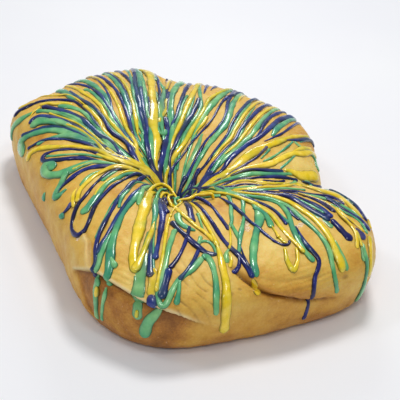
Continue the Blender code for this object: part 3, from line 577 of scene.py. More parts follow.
    ("P", ((391.3, 555, 7.4), (390.7, 495, 7.4), (389.4, 421, 6.3), (386.4, 373, 5.2),
          (383.5, 342, 5.8), (379.4, 291, 4.9), (374.4, 243, 4.9), (363.8, 207, 3.9),
          (362.4, 169, 5.1), (339.8, 124, 4.9), (314.3, 70, 4.9))),
    ("P", ((34.7, 533, 4.3), (34.1, 479, 4.3), (32.8, 412, 4.0), (30.4, 369, 4.1),
          (23.0, 321, 1.3))),
    ("P", ((400.8, 621, 5.0), (400.8, 581, 5.0), (400.6, 530, 5.0), (400.3, 490, 5.0),
          (399.5, 437, 4.9), (398.1, 382, 4.6), (396.5, 341, 4.1), (394.0, 307, 3.8),
          (389.4, 278, 3.6), (387.3, 260, 3.5), (384.1, 216, 3.3), (377.5, 173, 3.6),
          (368.6, 157, 3.8), (355.4, 108, 3.2), (348.0, 60, 3.2))),
    ("P", ((45.4, 571, 3.9), (45.3, 523, 3.9), (45.1, 484, 3.9), (44.4, 404, 4.1),
          (43.5, 359, 3.5), (41.9, 321, 3.0), (36.4, 267, 3.1), (34.0, 220, 2.8),
          (30.0, 172, 2.9), (32.3, 138, 3.2), (29.3, 114, 4.0), (27.0, 85, 3.4),
          (25.3, 53, 3.4))),
    ("P", ((52.8, 573, 4.0), (52.5, 499, 4.0), (51.5, 424, 4.0), (50.6, 383, 3.8),
          (47.5, 331, 2.9), (45.6, 283, 2.9), (47.2, 230, 2.9), (46.8, 170, 2.9),
          (49.7, 114, 3.7), (57.3, 83, 2.8), (64.9, 49, 2.4))),
    ("P", ((50.4, 614, 4.2), (50.4, 575, 4.2), (50.6, 526, 4.2), (51.2, 443, 4.2),
          (52.5, 389, 3.3), (52.2, 334, 2.3), (51.9, 294, 2.4), (55.5, 235, 2.3),
          (67.8, 161, 2.2), (86.9, 109, 3.2), (101.0, 75, 2.8))),
    ("P", ((58.4, 540, 3.7), (58.5, 487, 3.7), (58.8, 424, 1.2))),
    ("P", ((61.0, 580, 4.0), (61.0, 531, 4.0), (60.9, 480, 4.0), (60.5, 390, 1.2))),
    ("P", ((61.4, 358, 4.1), (62.0, 315, 4.8), (63.5, 283, 4.9), (66.8, 242, 4.2),
          (71.2, 203, 4.0), (81.7, 143, 3.3), (85.4, 108, 3.3), (87.3, 76, 3.3))),
    ("P", ((66.1, 615, 4.7), (66.1, 560, 4.7), (66.2, 515, 4.7), (66.4, 468, 4.7),
          (67.0, 420, 4.7), (68.2, 353, 4.0), (69.6, 311, 3.8), (71.4, 272, 3.5),
          (75.1, 232, 1.2))),
    ("P", ((73.0, 380, 3.2), (73.5, 329, 3.1), (74.9, 291, 0.8))),
    ("P", ((76.3, 273, 6.2), (78.2, 214, 5.9), (93.6, 148, 6.3), (110.0, 121, 5.7),
          (121.9, 76, 4.6))),
    ("P", ((72.6, 626, 2.7), (72.6, 571, 2.7), (72.7, 514, 2.7), (72.8, 449, 2.7),
          (73.4, 389, 2.7), (74.0, 347, 2.6), (76.6, 300, 2.4), (77.3, 276, 1.9),
          (78.3, 225, 1.5), (78.7, 175, 1.5))),
    ("P", ((76.2, 596, 3.3), (76.2, 563, 3.3), (76.2, 521, 3.3), (76.3, 438, 3.3),
          (76.6, 390, 3.3), (77.0, 346, 3.2), (79.9, 292, 0.8))),
    ("P", ((83.0, 314, 2.2), (85.9, 274, 2.2), (89.8, 243, 0.6))),
    ("P", ((84.2, 348, 3.7), (86.5, 308, 3.8), (89.6, 270, 3.7), (92.9, 231, 3.7),
          (99.8, 200, 3.7), (106.2, 175, 3.8), (115.2, 142, 3.7), (120.9, 112, 3.2),
          (124.8, 76, 3.2))),
    ("P", ((82.0, 567, 4.2), (82.1, 525, 4.2), (82.3, 491, 4.2), (83.5, 419, 4.2),
          (84.9, 381, 4.6), (86.1, 349, 4.7), (88.2, 308, 4.6), (91.4, 272, 4.5),
          (96.7, 222, 4.0), (108.6, 174, 4.0), (120.9, 129, 3.2), (126.5, 96, 3.2),
          (129.7, 67, 3.2))),
    ("P", ((90.2, 610, 3.0), (90.2, 562, 3.0), (90.2, 498, 3.0), (90.2, 439, 3.0),
          (90.3, 379, 2.7), (91.9, 327, 2.5), (95.5, 288, 3.1), (105.9, 238, 2.7),
          (109.4, 210, 0.7))),
    ("P", ((93.0, 612, 4.7), (93.0, 563, 4.7), (93.1, 510, 4.7), (93.2, 458, 4.7),
          (93.5, 401, 3.9), (94.3, 344, 3.4), (97.5, 298, 3.8), (102.7, 257, 4.2),
          (109.7, 222, 1.0))),
    ("P", ((86.5, 536, 3.8), (86.5, 489, 3.8), (86.6, 451, 3.8), (86.5, 404, 3.6),
          (86.9, 363, 1.0))),
    ("Y", ((95.0, 575, 4.0), (95.0, 532, 4.0), (95.1, 485, 4.0), (95.3, 401, 3.8),
          (96.1, 363, 3.6), (97.4, 334, 3.6), (99.9, 305, 3.7), (103.9, 277, 4.0),
          (108.5, 243, 4.1), (113.2, 204, 4.3), (128.5, 178, 5.5), (135.5, 158, 5.1),
          (142.3, 133, 5.1), (148.2, 103, 5.1), (152.8, 72, 5.1))),
    ("Y", ((103.5, 511, 4.9), (104.0, 456, 4.9), (105.1, 392, 4.7), (106.6, 328, 4.5),
          (111.4, 292, 4.5), (113.6, 266, 4.6), (115.3, 236, 3.9), (117.4, 174, 2.4))),
    ("Y", ((112.5, 615, 3.0), (112.4, 564, 3.0), (112.1, 520, 3.0), (111.1, 452, 3.0),
          (110.1, 438, 2.7), (110.1, 375, 2.2), (111.4, 336, 0.6))),
    ("Y", ((111.6, 351, 5.0), (115.4, 300, 4.6), (124.2, 266, 4.8), (127.4, 222, 1.6))),
    ("Y", ((120.2, 552, 5.3), (119.6, 510, 5.3), (118.6, 471, 1.5))),
    ("Y", ((120.0, 446, 7.2), (118.4, 437, 6.9), (117.4, 428, 6.4), (116.8, 402, 5.8),
          (114.8, 383, 5.3), (114.2, 368, 1.4))),
    ("Y", ((123.1, 408, 2.6), (123.7, 366, 2.6), (124.8, 328, 2.5), (129.5, 301, 3.5),
          (137.5, 265, 3.3), (144.2, 219, 2.5), (150.4, 162, 1.9))),
    ("Y", ((127.0, 362, 3.2), (127.7, 331, 2.9), (132.3, 303, 4.1), (139.8, 288, 4.3),
          (141.1, 272, 4.0), (135.6, 213, 5.1), (132.3, 155, 4.4), (130.8, 101, 4.4),
          (130.0, 51, 4.4))),
    ("Y", ((120.5, 440, 2.8), (123.3, 458, 2.5), (127.2, 487, 0.7))),
    ("Y", ((142.1, 595, 8.4), (141.0, 550, 7.7), (141.1, 488, 7.3), (141.7, 417, 6.1),
          (139.8, 350, 6.1), (140.6, 309, 7.0), (150.1, 279, 7.0), (149.8, 258, 8.7),
          (139.6, 214, 7.0), (133.4, 181, 6.6), (122.4, 125, 4.7), (115.6, 74, 4.7))),
    ("Y", ((146.6, 319, 5.2), (153.7, 286, 5.8), (154.2, 241, 5.6), (152.1, 226, 4.7),
          (139.4, 190, 4.1), (134.9, 170, 4.5), (120.2, 123, 3.5), (109.6, 73, 3.0))),
    ("Y", ((163.9, 419, 2.5), (158.6, 341, 0.8))),
    ("Y", ((192.5, 478, 2.9), (183.7, 452, 3.8), (179.0, 427, 0.9))),
    ("Y", ((191.3, 456, 4.6), (184.0, 427, 4.8), (176.4, 383, 5.0), (170.4, 339, 4.2),
          (164.7, 292, 5.6), (163.5, 252, 6.1), (161.9, 206, 4.1), (129.8, 132, 3.3),
          (117.6, 92, 2.8), (110.8, 55, 2.8))),
    ("Y", ((194.6, 390, 2.5), (178.2, 308, 2.4), (173.8, 286, 2.5), (168.2, 244, 2.7),
          (163.4, 200, 2.3), (159.3, 156, 1.8), (156.3, 112, 1.8), (154.4, 69, 1.8))),
    ("Y", ((225.1, 657, 4.5), (224.9, 622, 4.2))),
    ("Y", ((237.4, 485, 5.8), (235.3, 450, 6.7), (232.3, 359, 9.3), (227.3, 293, 10.0),
          (220.4, 240, 7.7), (213.6, 210, 6.4), (207.4, 159, 5.4), (204.0, 115, 5.4),
          (201.2, 60, 5.4))),
    ("Y", ((236.6, 484, 6.7), (237.3, 453, 6.0), (237.8, 393, 4.9), (238.1, 348, 4.4),
          (237.4, 311, 1.2))),
    ("Y", ((239.3, 661, 3.4), (239.3, 639, 3.4))),
    ("Y", ((244.6, 538, 3.2), (244.8, 469, 3.0), (245.0, 397, 3.0), (244.9, 320, 3.1),
          (245.8, 262, 1.0))),
    ("Y", ((266.2, 375, 3.6), (264.1, 346, 4.1), (254.3, 292, 4.0), (248.5, 239, 3.9),
          (244.7, 198, 3.3), (240.9, 155, 3.3), (236.6, 107, 3.3), (232.5, 65, 3.3))),
    ("Y", ((266.4, 389, 4.1), (266.4, 338, 3.9), (266.0, 290, 3.7), (265.6, 218, 3.2),
          (265.5, 175, 3.2), (265.3, 138, 3.2), (265.2, 97, 3.2), (265.0, 52, 3.2))),
    ("Y", ((264.5, 707, 8.1), (264.3, 624, 8.0), (264.7, 555, 7.5), (265.2, 511, 7.1),
          (265.4, 465, 6.7), (266.6, 369, 1.6))),
    ("Y", ((270.2, 406, 2.6), (272.5, 381, 2.7), (277.0, 331, 0.8))),
    ("Y", ((267.6, 462, 3.0), (269.3, 441, 2.9), (269.5, 412, 0.8))),
    ("Y", ((289.9, 436, 2.4), (287.1, 488, 4.3), (287.1, 519, 6.0), (289.9, 496, 3.8),
          (293.5, 445, 2.4))),
    ("Y", ((291.6, 429, 2.6), (291.5, 405, 2.9), (294.7, 353, 0.8))),
    ("Y", ((291.1, 407, 3.1), (293.8, 366, 0.7))),
    ("Y", ((294.0, 474, 4.3), (295.9, 383, 4.2), (301.6, 316, 4.4), (302.4, 263, 4.9),
          (304.8, 204, 1.7))),
    ("Y", ((301.0, 585, 5.7), (302.0, 546, 7.1), (302.9, 508, 6.9), (305.0, 469, 6.3),
          (307.4, 431, 6.2), (311.3, 368, 5.7), (314.1, 319, 4.9), (313.9, 299, 3.5),
          (311.0, 259, 2.6), (310.7, 213, 2.6), (315.0, 180, 2.4), (347.3, 140, 2.0),
          (375.9, 104, 1.7), (399.0, 72, 1.7))),
    ("Y", ((309.1, 527, 3.7), (315.1, 476, 3.5), (317.4, 443, 3.6), (321.0, 420, 3.4),
          (323.3, 386, 2.5), (324.0, 339, 2.2))),
    ("Y", ((310.6, 533, 2.7), (314.6, 487, 2.9))),
    ("Y", ((316.8, 516, 3.3), (318.8, 456, 3.3), (321.4, 422, 3.3))),
    ("Y", ((325.2, 516, 5.3), (326.8, 496, 6.7), (331.4, 479, 9.0), (333.3, 466, 10.8),
          (334.5, 451, 11.5), (335.2, 406, 11.9), (337.4, 390, 9.7), (344.8, 418, 9.4),
          (348.0, 428, 9.2), (346.4, 400, 8.3), (337.8, 346, 6.6), (322.3, 278, 4.7),
          (315.5, 252, 4.5), (310.6, 220, 4.0))),
    ("Y", ((324.0, 560, 3.8), (328.8, 560, 4.4))),
    ("Y", ((338.2, 347, 4.1), (339.1, 340, 4.1), (334.7, 299, 3.9), (326.9, 265, 3.4))),
    ("Y", ((336.5, 301, 2.7), (335.7, 280, 3.2), (336.9, 249, 3.3), (335.9, 225, 3.2),
          (331.5, 207, 3.0), (318.0, 187, 3.3))),
    ("Y", ((311.0, 652, 9.2), (310.6, 623, 6.6), (311.4, 589, 4.9), (313.7, 561, 4.9),
          (317.8, 538, 6.0))),
    ("Y", ((357.6, 562, 9.0), (356.0, 503, 8.9), (354.3, 451, 10.7), (355.2, 381, 2.0))),
    ("Y", ((13.2, 535, 4.1), (11.3, 477, 5.1), (8.2, 424, 1.7))),
    ("Y", ((89.4, 539, 2.7), (89.3, 471, 2.7), (88.8, 395, 0.8))),
    ("Y", ((139.2, 305, 8.5), (149.9, 286, 7.4), (153.4, 243, 9.6), (151.4, 223, 7.9),
          (139.8, 185, 7.9), (134.5, 154, 7.3), (127.6, 101, 7.3), (124.0, 53, 7.3))),
    ("Y", ((81.1, 482, 7.4), (79.6, 475, 9.9), (78.8, 465, 10.9), (78.6, 417, 9.5),
          (79.7, 356, 8.2), (81.7, 302, 8.3), (84.0, 261, 10.4), (87.9, 234, 9.2),
          (90.8, 192, 7.5), (106.9, 146, 4.0), (116.3, 116, 2.8), (123.2, 72, 2.8))),
    ("Y", ((73.7, 341, 3.3), (76.7, 289, 4.6), (83.0, 239, 3.6))),
    ("Y", ((71.8, 528, 5.4), (72.4, 451, 4.8), (73.4, 389, 3.2))),
    ("G", ((82.8, 240, 3.2), (85.6, 224, 3.8), (84.7, 210, 4.3), (80.8, 214, 4.1),
          (78.2, 230, 3.6))),
    ("Y", ((303.6, 224, 3.7), (310.4, 179, 3.7), (335.4, 131, 3.4), (367.7, 77, 3.2),
          (385.2, 46, 2.7))),
    ("G", ((299.0, 214, 4.9), (300.8, 148, 6.4), (301.8, 111, 6.4), (302.7, 81, 6.4))),
    ("P", ((371.3, 193, 5.4), (368.7, 159, 5.7), (345.5, 129, 4.8), (330.9, 105, 4.8),
          (315.1, 80, 4.8), (298.2, 52, 4.8))),
    ("P", ((32.9, 162, 3.6), (30.1, 134, 4.2), (19.4, 110, 4.9), (10.2, 81, 4.1))),
    ("P", ((109.2, 168, 4.6), (113.4, 147, 4.9), (114.2, 121, 5.7), (113.2, 89, 5.0),
          (113.0, 52, 5.0))),
    ("P", ((47.8, 130, 4.5), (54.9, 93, 3.6), (56.2, 64, 3.0))),
    ("Y", ((245.8, 291, 1.9), (246.8, 257, 2.5), (251.7, 229, 3.1), (257.3, 181, 3.1),
          (263.4, 126, 3.1), (270.8, 62, 3.1))),
)
LOOPS = (                             # strands that span the mouth of the pit: mm, and width
    ("Y", ((-67.0, -72.7, 73.9, 2.7), (-68.5, -72.5, 71.0, 3.0), (-63.7, -66.1, 72.0, 3.6),
          (-57.6, -59.1, 72.0, 3.6), (-51.0, -53.5, 71.0, 3.3), (-45.7, -51.8, 70.0, 3.2),
          (-42.2, -55.3, 69.5, 3.0), (-40.5, -61.9, 69.0, 2.8), (-40.3, -69.7, 69.0, 2.4),
          (-40.1, -75.7, 68.5, 2.2))),
    ("G", ((-61.3, -81.1, 70.0, 3.0), (-57.8, -72.0, 70.0, 3.4), (-52.5, -62.3, 69.0, 3.0),
          (-47.4, -56.9, 68.0, 2.6), (-43.9, -57.8, 68.0, 2.2), (-42.7, -57.8, 68.5, 2.0))),
    ("Y", ((-54.9, -74.4, 69.0, 2.0), (-52.3, -69.1, 69.5, 2.8), (-49.0, -66.2, 69.5, 3.0),
          (-45.9, -65.8, 69.0, 2.4), (-44.0, -67.5, 67.3, 2.2))),
    ("P", ((-53.5, -84.8, 69.0, 3.0), (-48.2, -75.3, 67.5, 3.4), (-42.6, -67.5, 66.0, 3.0),
          (-36.9, -62.2, 65.0, 2.6), (-39.0, -63.0, 68.4, 2.3))),
    ("Y", ((-49.6, -89.1, 70.0, 3.2), (-48.6, -80.2, 69.5, 3.0), (-47.8, -74.2, 69.5, 2.8),
          (-45.3, -70.8, 70.0, 2.4), (-42.9, -70.7, 70.0, 1.8), (-41.4, -70.5, 69.6, 1.6))),
    ("G", ((-45.3, -88.6, 70.0, 2.6), (-44.2, -81.4, 69.5, 2.6), (-41.0, -75.6, 69.0, 2.4),
          (-37.0, -74.6, 69.0, 2.2))),
    ("P", ((-55.0, -82.7, 69.0, 2.6), (-51.5, -75.3, 68.5, 2.8), (-46.7, -69.8, 67.5, 2.4))),
    ("G", ((-41.6, -89.5, 70.0, 3.0), (-39.7, -80.9, 69.0, 2.8), (-40.4, -74.1, 68.0, 2.4),
          (-43.4, -72.2, 67.5, 2.2))),
    ("P", ((-40.4, -91.5, 70.0, 3.0), (-38.9, -83.6, 69.0, 2.8), (-34.5, -76.8, 68.5, 2.6),
          (-29.4, -74.4, 68.5, 2.6), (-30.0, -75.9, 65.5, 2.3))),
    ("P", ((-18.9, -101.8, 73.6, 3.2), (-19.7, -94.5, 72.6, 3.2), (-21.2, -87.7, 71.8, 3.2),
          (-24.3, -82.6, 71.2, 3.0), (-28.7, -79.6, 70.5, 2.6))),
    ("Y", ((-42.4, -81.8, 70.0, 2.0), (-38.5, -81.1, 70.5, 2.4), (-34.3, -82.0, 71.0, 2.8),
          (-30.1, -81.9, 71.5, 3.0), (-24.4, -80.2, 72.0, 3.2), (-18.5, -81.6, 73.0, 3.2),
          (-11.4, -84.8, 74.0, 3.0), (-10.3, -86.1, 70.0, 2.7))),
)


# ---------------------------------------------------------------- light
WORLD = 0.33
LIGHTS = (                            # name, place, size, power, colour
    ("key", (0.30, 0.35, 1.5), 0.4, 10.6, (1.0, 0.99, 0.97)),
    ("window", (0.60, 1.40, 0.90), 0.45, 4.0, (0.95, 0.98, 1.0)),
    ("fill", (-0.75, -1.15, 1.45), 0.45, 4.6, (1.0, 0.995, 0.985)),
    ("strip", (0.10, -0.55, 1.35), 0.26, 1.9, (0.95, 0.97, 1.0)),
    ("strip_left", (-0.80, 0.25, 1.25), 0.26, 1.9, (0.95, 0.97, 1.0)),
)


# ---------------------------------------------------------------- small tools
def waves(p, seed, count, short, long):
    """Smooth random field of about -1 to 1 at points p (mm): waves of many directions."""
    rng = np.random.RandomState(seed)
    out = np.zeros(len(p))
    for _ in range(count):
        d = rng.normal(size=3)
        d /= np.linalg.norm(d)
        size = short * (long / short) ** rng.rand()
        out += np.sin(p @ d * (2 * np.pi / size) + rng.rand() * 6.283)
    return out / math.sqrt(count / 2) / 1.6


def spot(p, angle, t, across, round_=1.0, turn=0.0):
    """Bump of 1 at a place on the dough, fading over `across` millimetres."""
    c = body(np.array([math.radians(angle)]), np.array([t]))[0]
    d = p - c
    if round_ != 1.0:
        u = np.array([math.cos(math.radians(turn)), math.sin(math.radians(turn)), 0])
        along_ = d @ u
        d = d - along_[:, None] * u * (1 - 1 / round_)
    return np.exp(-(np.einsum("ij,ij->i", d, d)) / across ** 2)


def srgb(r, g, b):
    c = np.array([r, g, b], float) / 255
    return np.where(c <= 0.04045, c / 12.92, ((c + 0.055) / 1.055) ** 2.4)


def gauss(v, sigma):
    """Smooths along the first axis."""
    if len(v) < 3 or sigma <= 0:
        return v
    n = int(math.ceil(3 * sigma))
    k = np.exp(-0.5 * (np.arange(-n, n + 1) / sigma) ** 2)
    k /= k.sum()
    pad = np.concatenate([np.repeat(v[:1], n, 0), v, np.repeat(v[-1:], n, 0)])
    if v.ndim == 1:
        return np.convolve(pad, k, "valid")
    return np.stack([np.convolve(pad[:, j], k, "valid") for j in range(v.shape[1])], 1)


def make_mesh(name, verts_mm, faces, smooth_shade=True):
    mesh = bpy.data.meshes.new(name)
    mesh.from_pydata((verts_mm * 0.001).tolist(), [], faces)
    mesh.update()
    if smooth_shade:
        mesh.polygons.foreach_set("use_smooth", np.ones(len(mesh.polygons), bool))
    obj = bpy.data.objects.new(name, mesh)
    bpy.context.scene.collection.objects.link(obj)
    return obj


# ---------------------------------------------------------------- the dough
STEP = 2.4                            # width of a sharp edge in the fine mesh

# pale or orange patches of the crust: angle, share, size (mm), how much browner
PATCHES = (
    (196.8, .333, 16, .30), (133.9, .456, 16, .22), (284.6, .248, 14, .26),
    (306.7, .556, 8, .20), (80.4, .365, 6, .25), (225.8, .460, 18, .10),
    (251.3, .347, 16, .10), (192.0, .600, 26, .12), (247.0, .58, 20, .12),
    (277.9, .640, 26, .14), (160.0, .55, 30, .15), (100.0, .58, 34, .16),
    (60.0, .60, 32, .2), (20.0, .56, 34, .2), (330.0, .60, 30, .14),
    (301.2, .458, 18, -.14), (283.2, .448, 18, -.12), (234.7, .520, 14, -.10),
    (196.3, .460, 18, -.06), (265.4, .348, 14, -.04), (261.4, .532, 12, -.06),
    (266.5, .585, 18, -.12), (118.0, .43, 12, .12), (40.0, .40, 22, .10),
    (355.0, .44, 20, -.20), (8.0, .40, 22, -.16), (325.0, .40, 20, -.06),
)
# torn places where pale crumb shows: angle, share, size, long, turn
TORN = ((284.9, .338, 4.0, 2.0, 80), (288.6, .352, 1.9, 1.4, 10),
        (303.8, .383, 2.2, 2.4, 30), (301.7, .607, 1.9, 1.5, 0),
        (266.4, .559, 1.2, 1.6, 70), (269.0, .544, 1.0, 1.3, 0),
        (209.0, .52, 2.4, 2.5, 60), (140.0, .58, 3.2, 2.0, 20),
        (52.0, .55, 3.4, 1.8, 100))


def line_marks(p, n, line, up_width, down_width):
    d, u = beside(p, n, line)
    far = np.abs(d)
    return np.where(d > 0, np.exp(-far / up_width), np.exp(-far / down_width)), d, u


def wrinkles(a, t, p):
    """Fine slack lines of the skin, 0 to 1, sharp along each line."""
    phase = a * 104 - t * 128 + 1.5 * np.sin(t * 34 + 5 * a) + 0.9 * waves(p, 14, 8, 14, 30)
    return np.clip(np.cos(phase), 0, 1) ** 5 * smooth(0.6 + 0.9 * waves(p, 15, 10, 10, 22))


def dough_detail(a, t, p, n):
    """Fine relief of the crust, on top of the shape shared with the CAD."""
    clear = smooth((T_FOOT - t) / 0.10) * smooth((t - 0.02) / 0.06)
    move = clear * (0.35 * waves(p, 11, 14, 16, 40) + 0.16 * waves(p, 12, 16, 6, 12)
                    + 0.07 * waves(p, 13, 18, 2.6, 5))
    # fine slack wrinkles that fan out below the middle of the front
    fan = spot(p, 257.0, .50, 26, 1.2, 0) + 0.7 * spot(p, 251.5, .57, 20)
    move -= clear * 1.0 * np.clip(fan, 0, 1) * wrinkles(a, t, p)
    fan = spot(p, 237.0, .50, 26) + spot(p, 292.0, .60, 22, 2.0, 10)
    move += clear * 0.20 * np.clip(fan, 0, 1) * np.sin(
        t * 300 + 9 * a + 1.2 * np.sin(a * 22))
    # lesser slack lines beside the crease on the right lobe
    for k, off in ((.9, .018), (.7, .034), (.5, -.020)):
        line = tuple((x, y + off) for x, y in CREASE_FRONT)
        d, u = beside(p, n, line)
        move -= 0.55 * k * bell(d, 1.8) * fade(u, 0.35, 0.35)
    for angle, share, size, long_, turn in TORN:
        s = spot(p, angle, share, size, long_, turn)
        rough = waves(p, int(angle * 10), 10, 1.6, 4.0)
        move += -0.75 * smooth(s * 1.6) * (1 + 0.5 * rough) * min(1, size / 3.5)
    return move


def fine_grid():
    shares = [0.0]
    ends = ((0.0, T_FLOOR, 4), (T_FLOOR, T_CREST, 40), (T_CREST, T_BELLY, 86),
            (T_BELLY, T_FOOT, 44), (T_FOOT, 1.0, 5))
    for lo, hi, count in ends:
        shares += [lo + (hi - lo) * k / count for k in range(1, count + 1)]
    # more segments on the left front, where the crust is split
    x = np.linspace(0, 2 * np.pi, 4001)
    dens = 1 + 0.9 * np.exp(-((np.degrees(x) - 262) / 52) ** 2)
    cum = np.concatenate([[0], np.cumsum((dens[1:] + dens[:-1]) / 2)])
    count = 470
    angles = np.interp(np.arange(count) / count * cum[-1], cum, x)
    return np.array(shares), angles


def build_dough():
    shares, angles = fine_grid()
    ns, na = len(shares), len(angles)
    t = np.repeat(shares[1:-1], na)
    a = np.tile(angles, ns - 2)
    p = body(a, t)
    n = normals(a, t)
    move = pressed(a, t, p, n, STEP) + dough_detail(a, t, p, n)
    q = p + n * move[:, None]
    q[:, 2] = np.where(t >= T_FOOT, 0.0, np.maximum(q[:, 2], 0.0))
    top = cake(np.array([0.0]), np.array([0.0]), STEP)
    bottom = np.array([[PIT_X, PIT_Y, 0.0]])
    verts = np.concatenate([q, top, bottom])
    it, ib = len(q), len(q) + 1
    faces = []
    j = np.arange(na)
    k = (j + 1) % na
    for r in range(ns - 3):
        lo, hi = r * na, (r + 1) * na
        faces += np.stack([lo + j, hi + j, hi + k, lo + k], 1).tolist()
    faces += [[it, int(x), int(y)] for x, y in zip(j, k)]
    last = (ns - 3) * na
    faces += [[ib, last + int(y), last + int(x)] for x, y in zip(j, k)]
    obj = make_mesh("dough", verts, faces)

    # how brown the crust is, where its pale crumb shows, and painted shade in its hollows and creases
    bake = 0.42 + 0.06 * waves(p, 21, 16, 30, 80) + 0.05 * waves(p, 22, 16, 10, 24)
    bake += 0.34 * smooth((t - 0.60) / 0.22)
    for angle, share, size, much in PATCHES:
        bake += much * spot(p, angle, share, size)
    pale = np.zeros(len(p))
    painted_shade = 0.85 * smooth((0.075 - t) / 0.05)          # painted shade on the pit floor, where the hollow lies in shadow
    mark, d, u = line_marks(p, n, SPLIT_LEFT, 2.6, 26)
    on = fade(u, 0.12, 0.22)
    under = (d < 0.6) * smooth((T_FOOT + .02 - t) / 0.1)
    bake += 0.42 * on * np.where(d < 0, smooth(1.25 * np.exp(-np.abs(d) / 40)), 0)
    pale += on * np.exp(-((d - 1.6) / 1.5) ** 2) * 0.9
    # painted shadow under the overhanging crust of the split
    painted_shade += on * np.exp(-((d + 1.4) / 2.2) ** 2) * 0.75
    mark, d, u = line_marks(p, n, LIP_LEFT, 2, 2)
    on = fade(u, 0.3, 0.15)
    # painted shade in the groove along the lip
    painted_shade += on * bell(d - 0.8, 1.5) * 0.45
    pale += on * bell(d + 1.6, 1.6) * 0.35
    mark, d, u = line_marks(p, n, FOLD_FRONT, 3, 2)
    on = fade(u, 0.22, 0.2)
    # painted shade in the fold where the right lobe rolls over
    painted_shade += on * bell(d + 0.2, 1.7) * 0.85
    bake += on * 0.26 * np.where(d > 0, np.exp(-d / 16), np.exp(d / 5))
    # painted shade in the crease above the fold
    mark, d, u = line_marks(p, n, CREASE_FRONT, 3, 2)
    painted_shade += fade(u, 0.3, 0.3) * bell(d, 1.6) * 0.22
    # painted shade in the seam groove at the back
    mark, d, u = line_marks(p, n, SEAM_BACK, 3, 2)
    painted_shade += fade(u, 0, 0.5) * bell(d, 2.0) * 0.3
    # painted shade in the fine slack wrinkles below the middle of the front
    fan = spot(p, 257.0, .50, 26, 1.2, 0) + 0.7 * spot(p, 251.5, .57, 20)
    painted_shade += 0.46 * np.clip(fan, 0, 1) * wrinkles(a, t, p)
    crumb = np.zeros(len(p))
    for angle, share, size, long_, turn in TORN:
        s = spot(p, angle, share, size, long_, turn)
        crumb += smooth(s * 1.7) * (0.9 if size > 2 else 0)
        # painted shade in the small torn pits
        painted_shade += smooth(s * 1.5) * (0.5 if size < 2 else 0)
    tail = np.zeros(2)
    for name, values in (("bake", bake), ("pale", pale), ("painted_shade", painted_shade), ("crumb", crumb)):
        att = obj.data.attributes.new(name, "FLOAT", "POINT")
        att.data.foreach_set("value", np.concatenate(
            [np.clip(values, 0, 1), tail + (bake[0] if name == "bake" else 0)]).astype(np.float32))
    return obj


# ---------------------------------------------------------------- the icing
FLOOR_OF_BEAD = -0.6                  # how deep a bead's underside sits in the dough
RING_UP = np.radians([-90, -66, -40, -14, 14, 40, 66, 90])
FAT = {"Y": 1.06, "G": 1.16, "P": 1.10}   # on the open dough
INK = {"Y": srgb(253, 216, 36), "G": srgb(94, 182, 118), "P": srgb(25, 28, 104)}
SHADES = {"Y": (srgb(226, 206, 44), srgb(254, 218, 58)),
          "G": (srgb(62, 154, 118), srgb(140, 206, 134)),
          "P": (srgb(16, 18, 72), srgb(40, 54, 138))}
MIXED = {"YG": srgb(160, 196, 52), "GP": srgb(38, 92, 148), "PY": srgb(104, 92, 60)}
CRUST = srgb(226, 180, 86)


def hermite(values, knots, u):
    """Smooth curve through values at knots, at places u."""
    h = np.diff(knots)
    s = np.diff(values, axis=0) / h[:, None]
    m = np.empty_like(values)
    m[0], m[-1] = s[0], s[-1]
    if len(values) > 2:
        m[1:-1] = (s[:-1] * h[1:, None] + s[1:] * h[:-1, None]) / (h[1:] + h[:-1])[:, None]
    i = np.clip(np.searchsorted(knots, u, "right") - 1, 0, len(h) - 1)
    f = ((u - knots[i]) / h[i])[:, None]
    hi = h[i][:, None]
    return ((2 * f ** 3 - 3 * f ** 2 + 1) * values[i] + (f ** 3 - 2 * f ** 2 + f) * hi * m[i]
            + (-2 * f ** 3 + 3 * f ** 2) * values[i + 1] + (f ** 3 - f ** 2) * hi * m[i + 1])


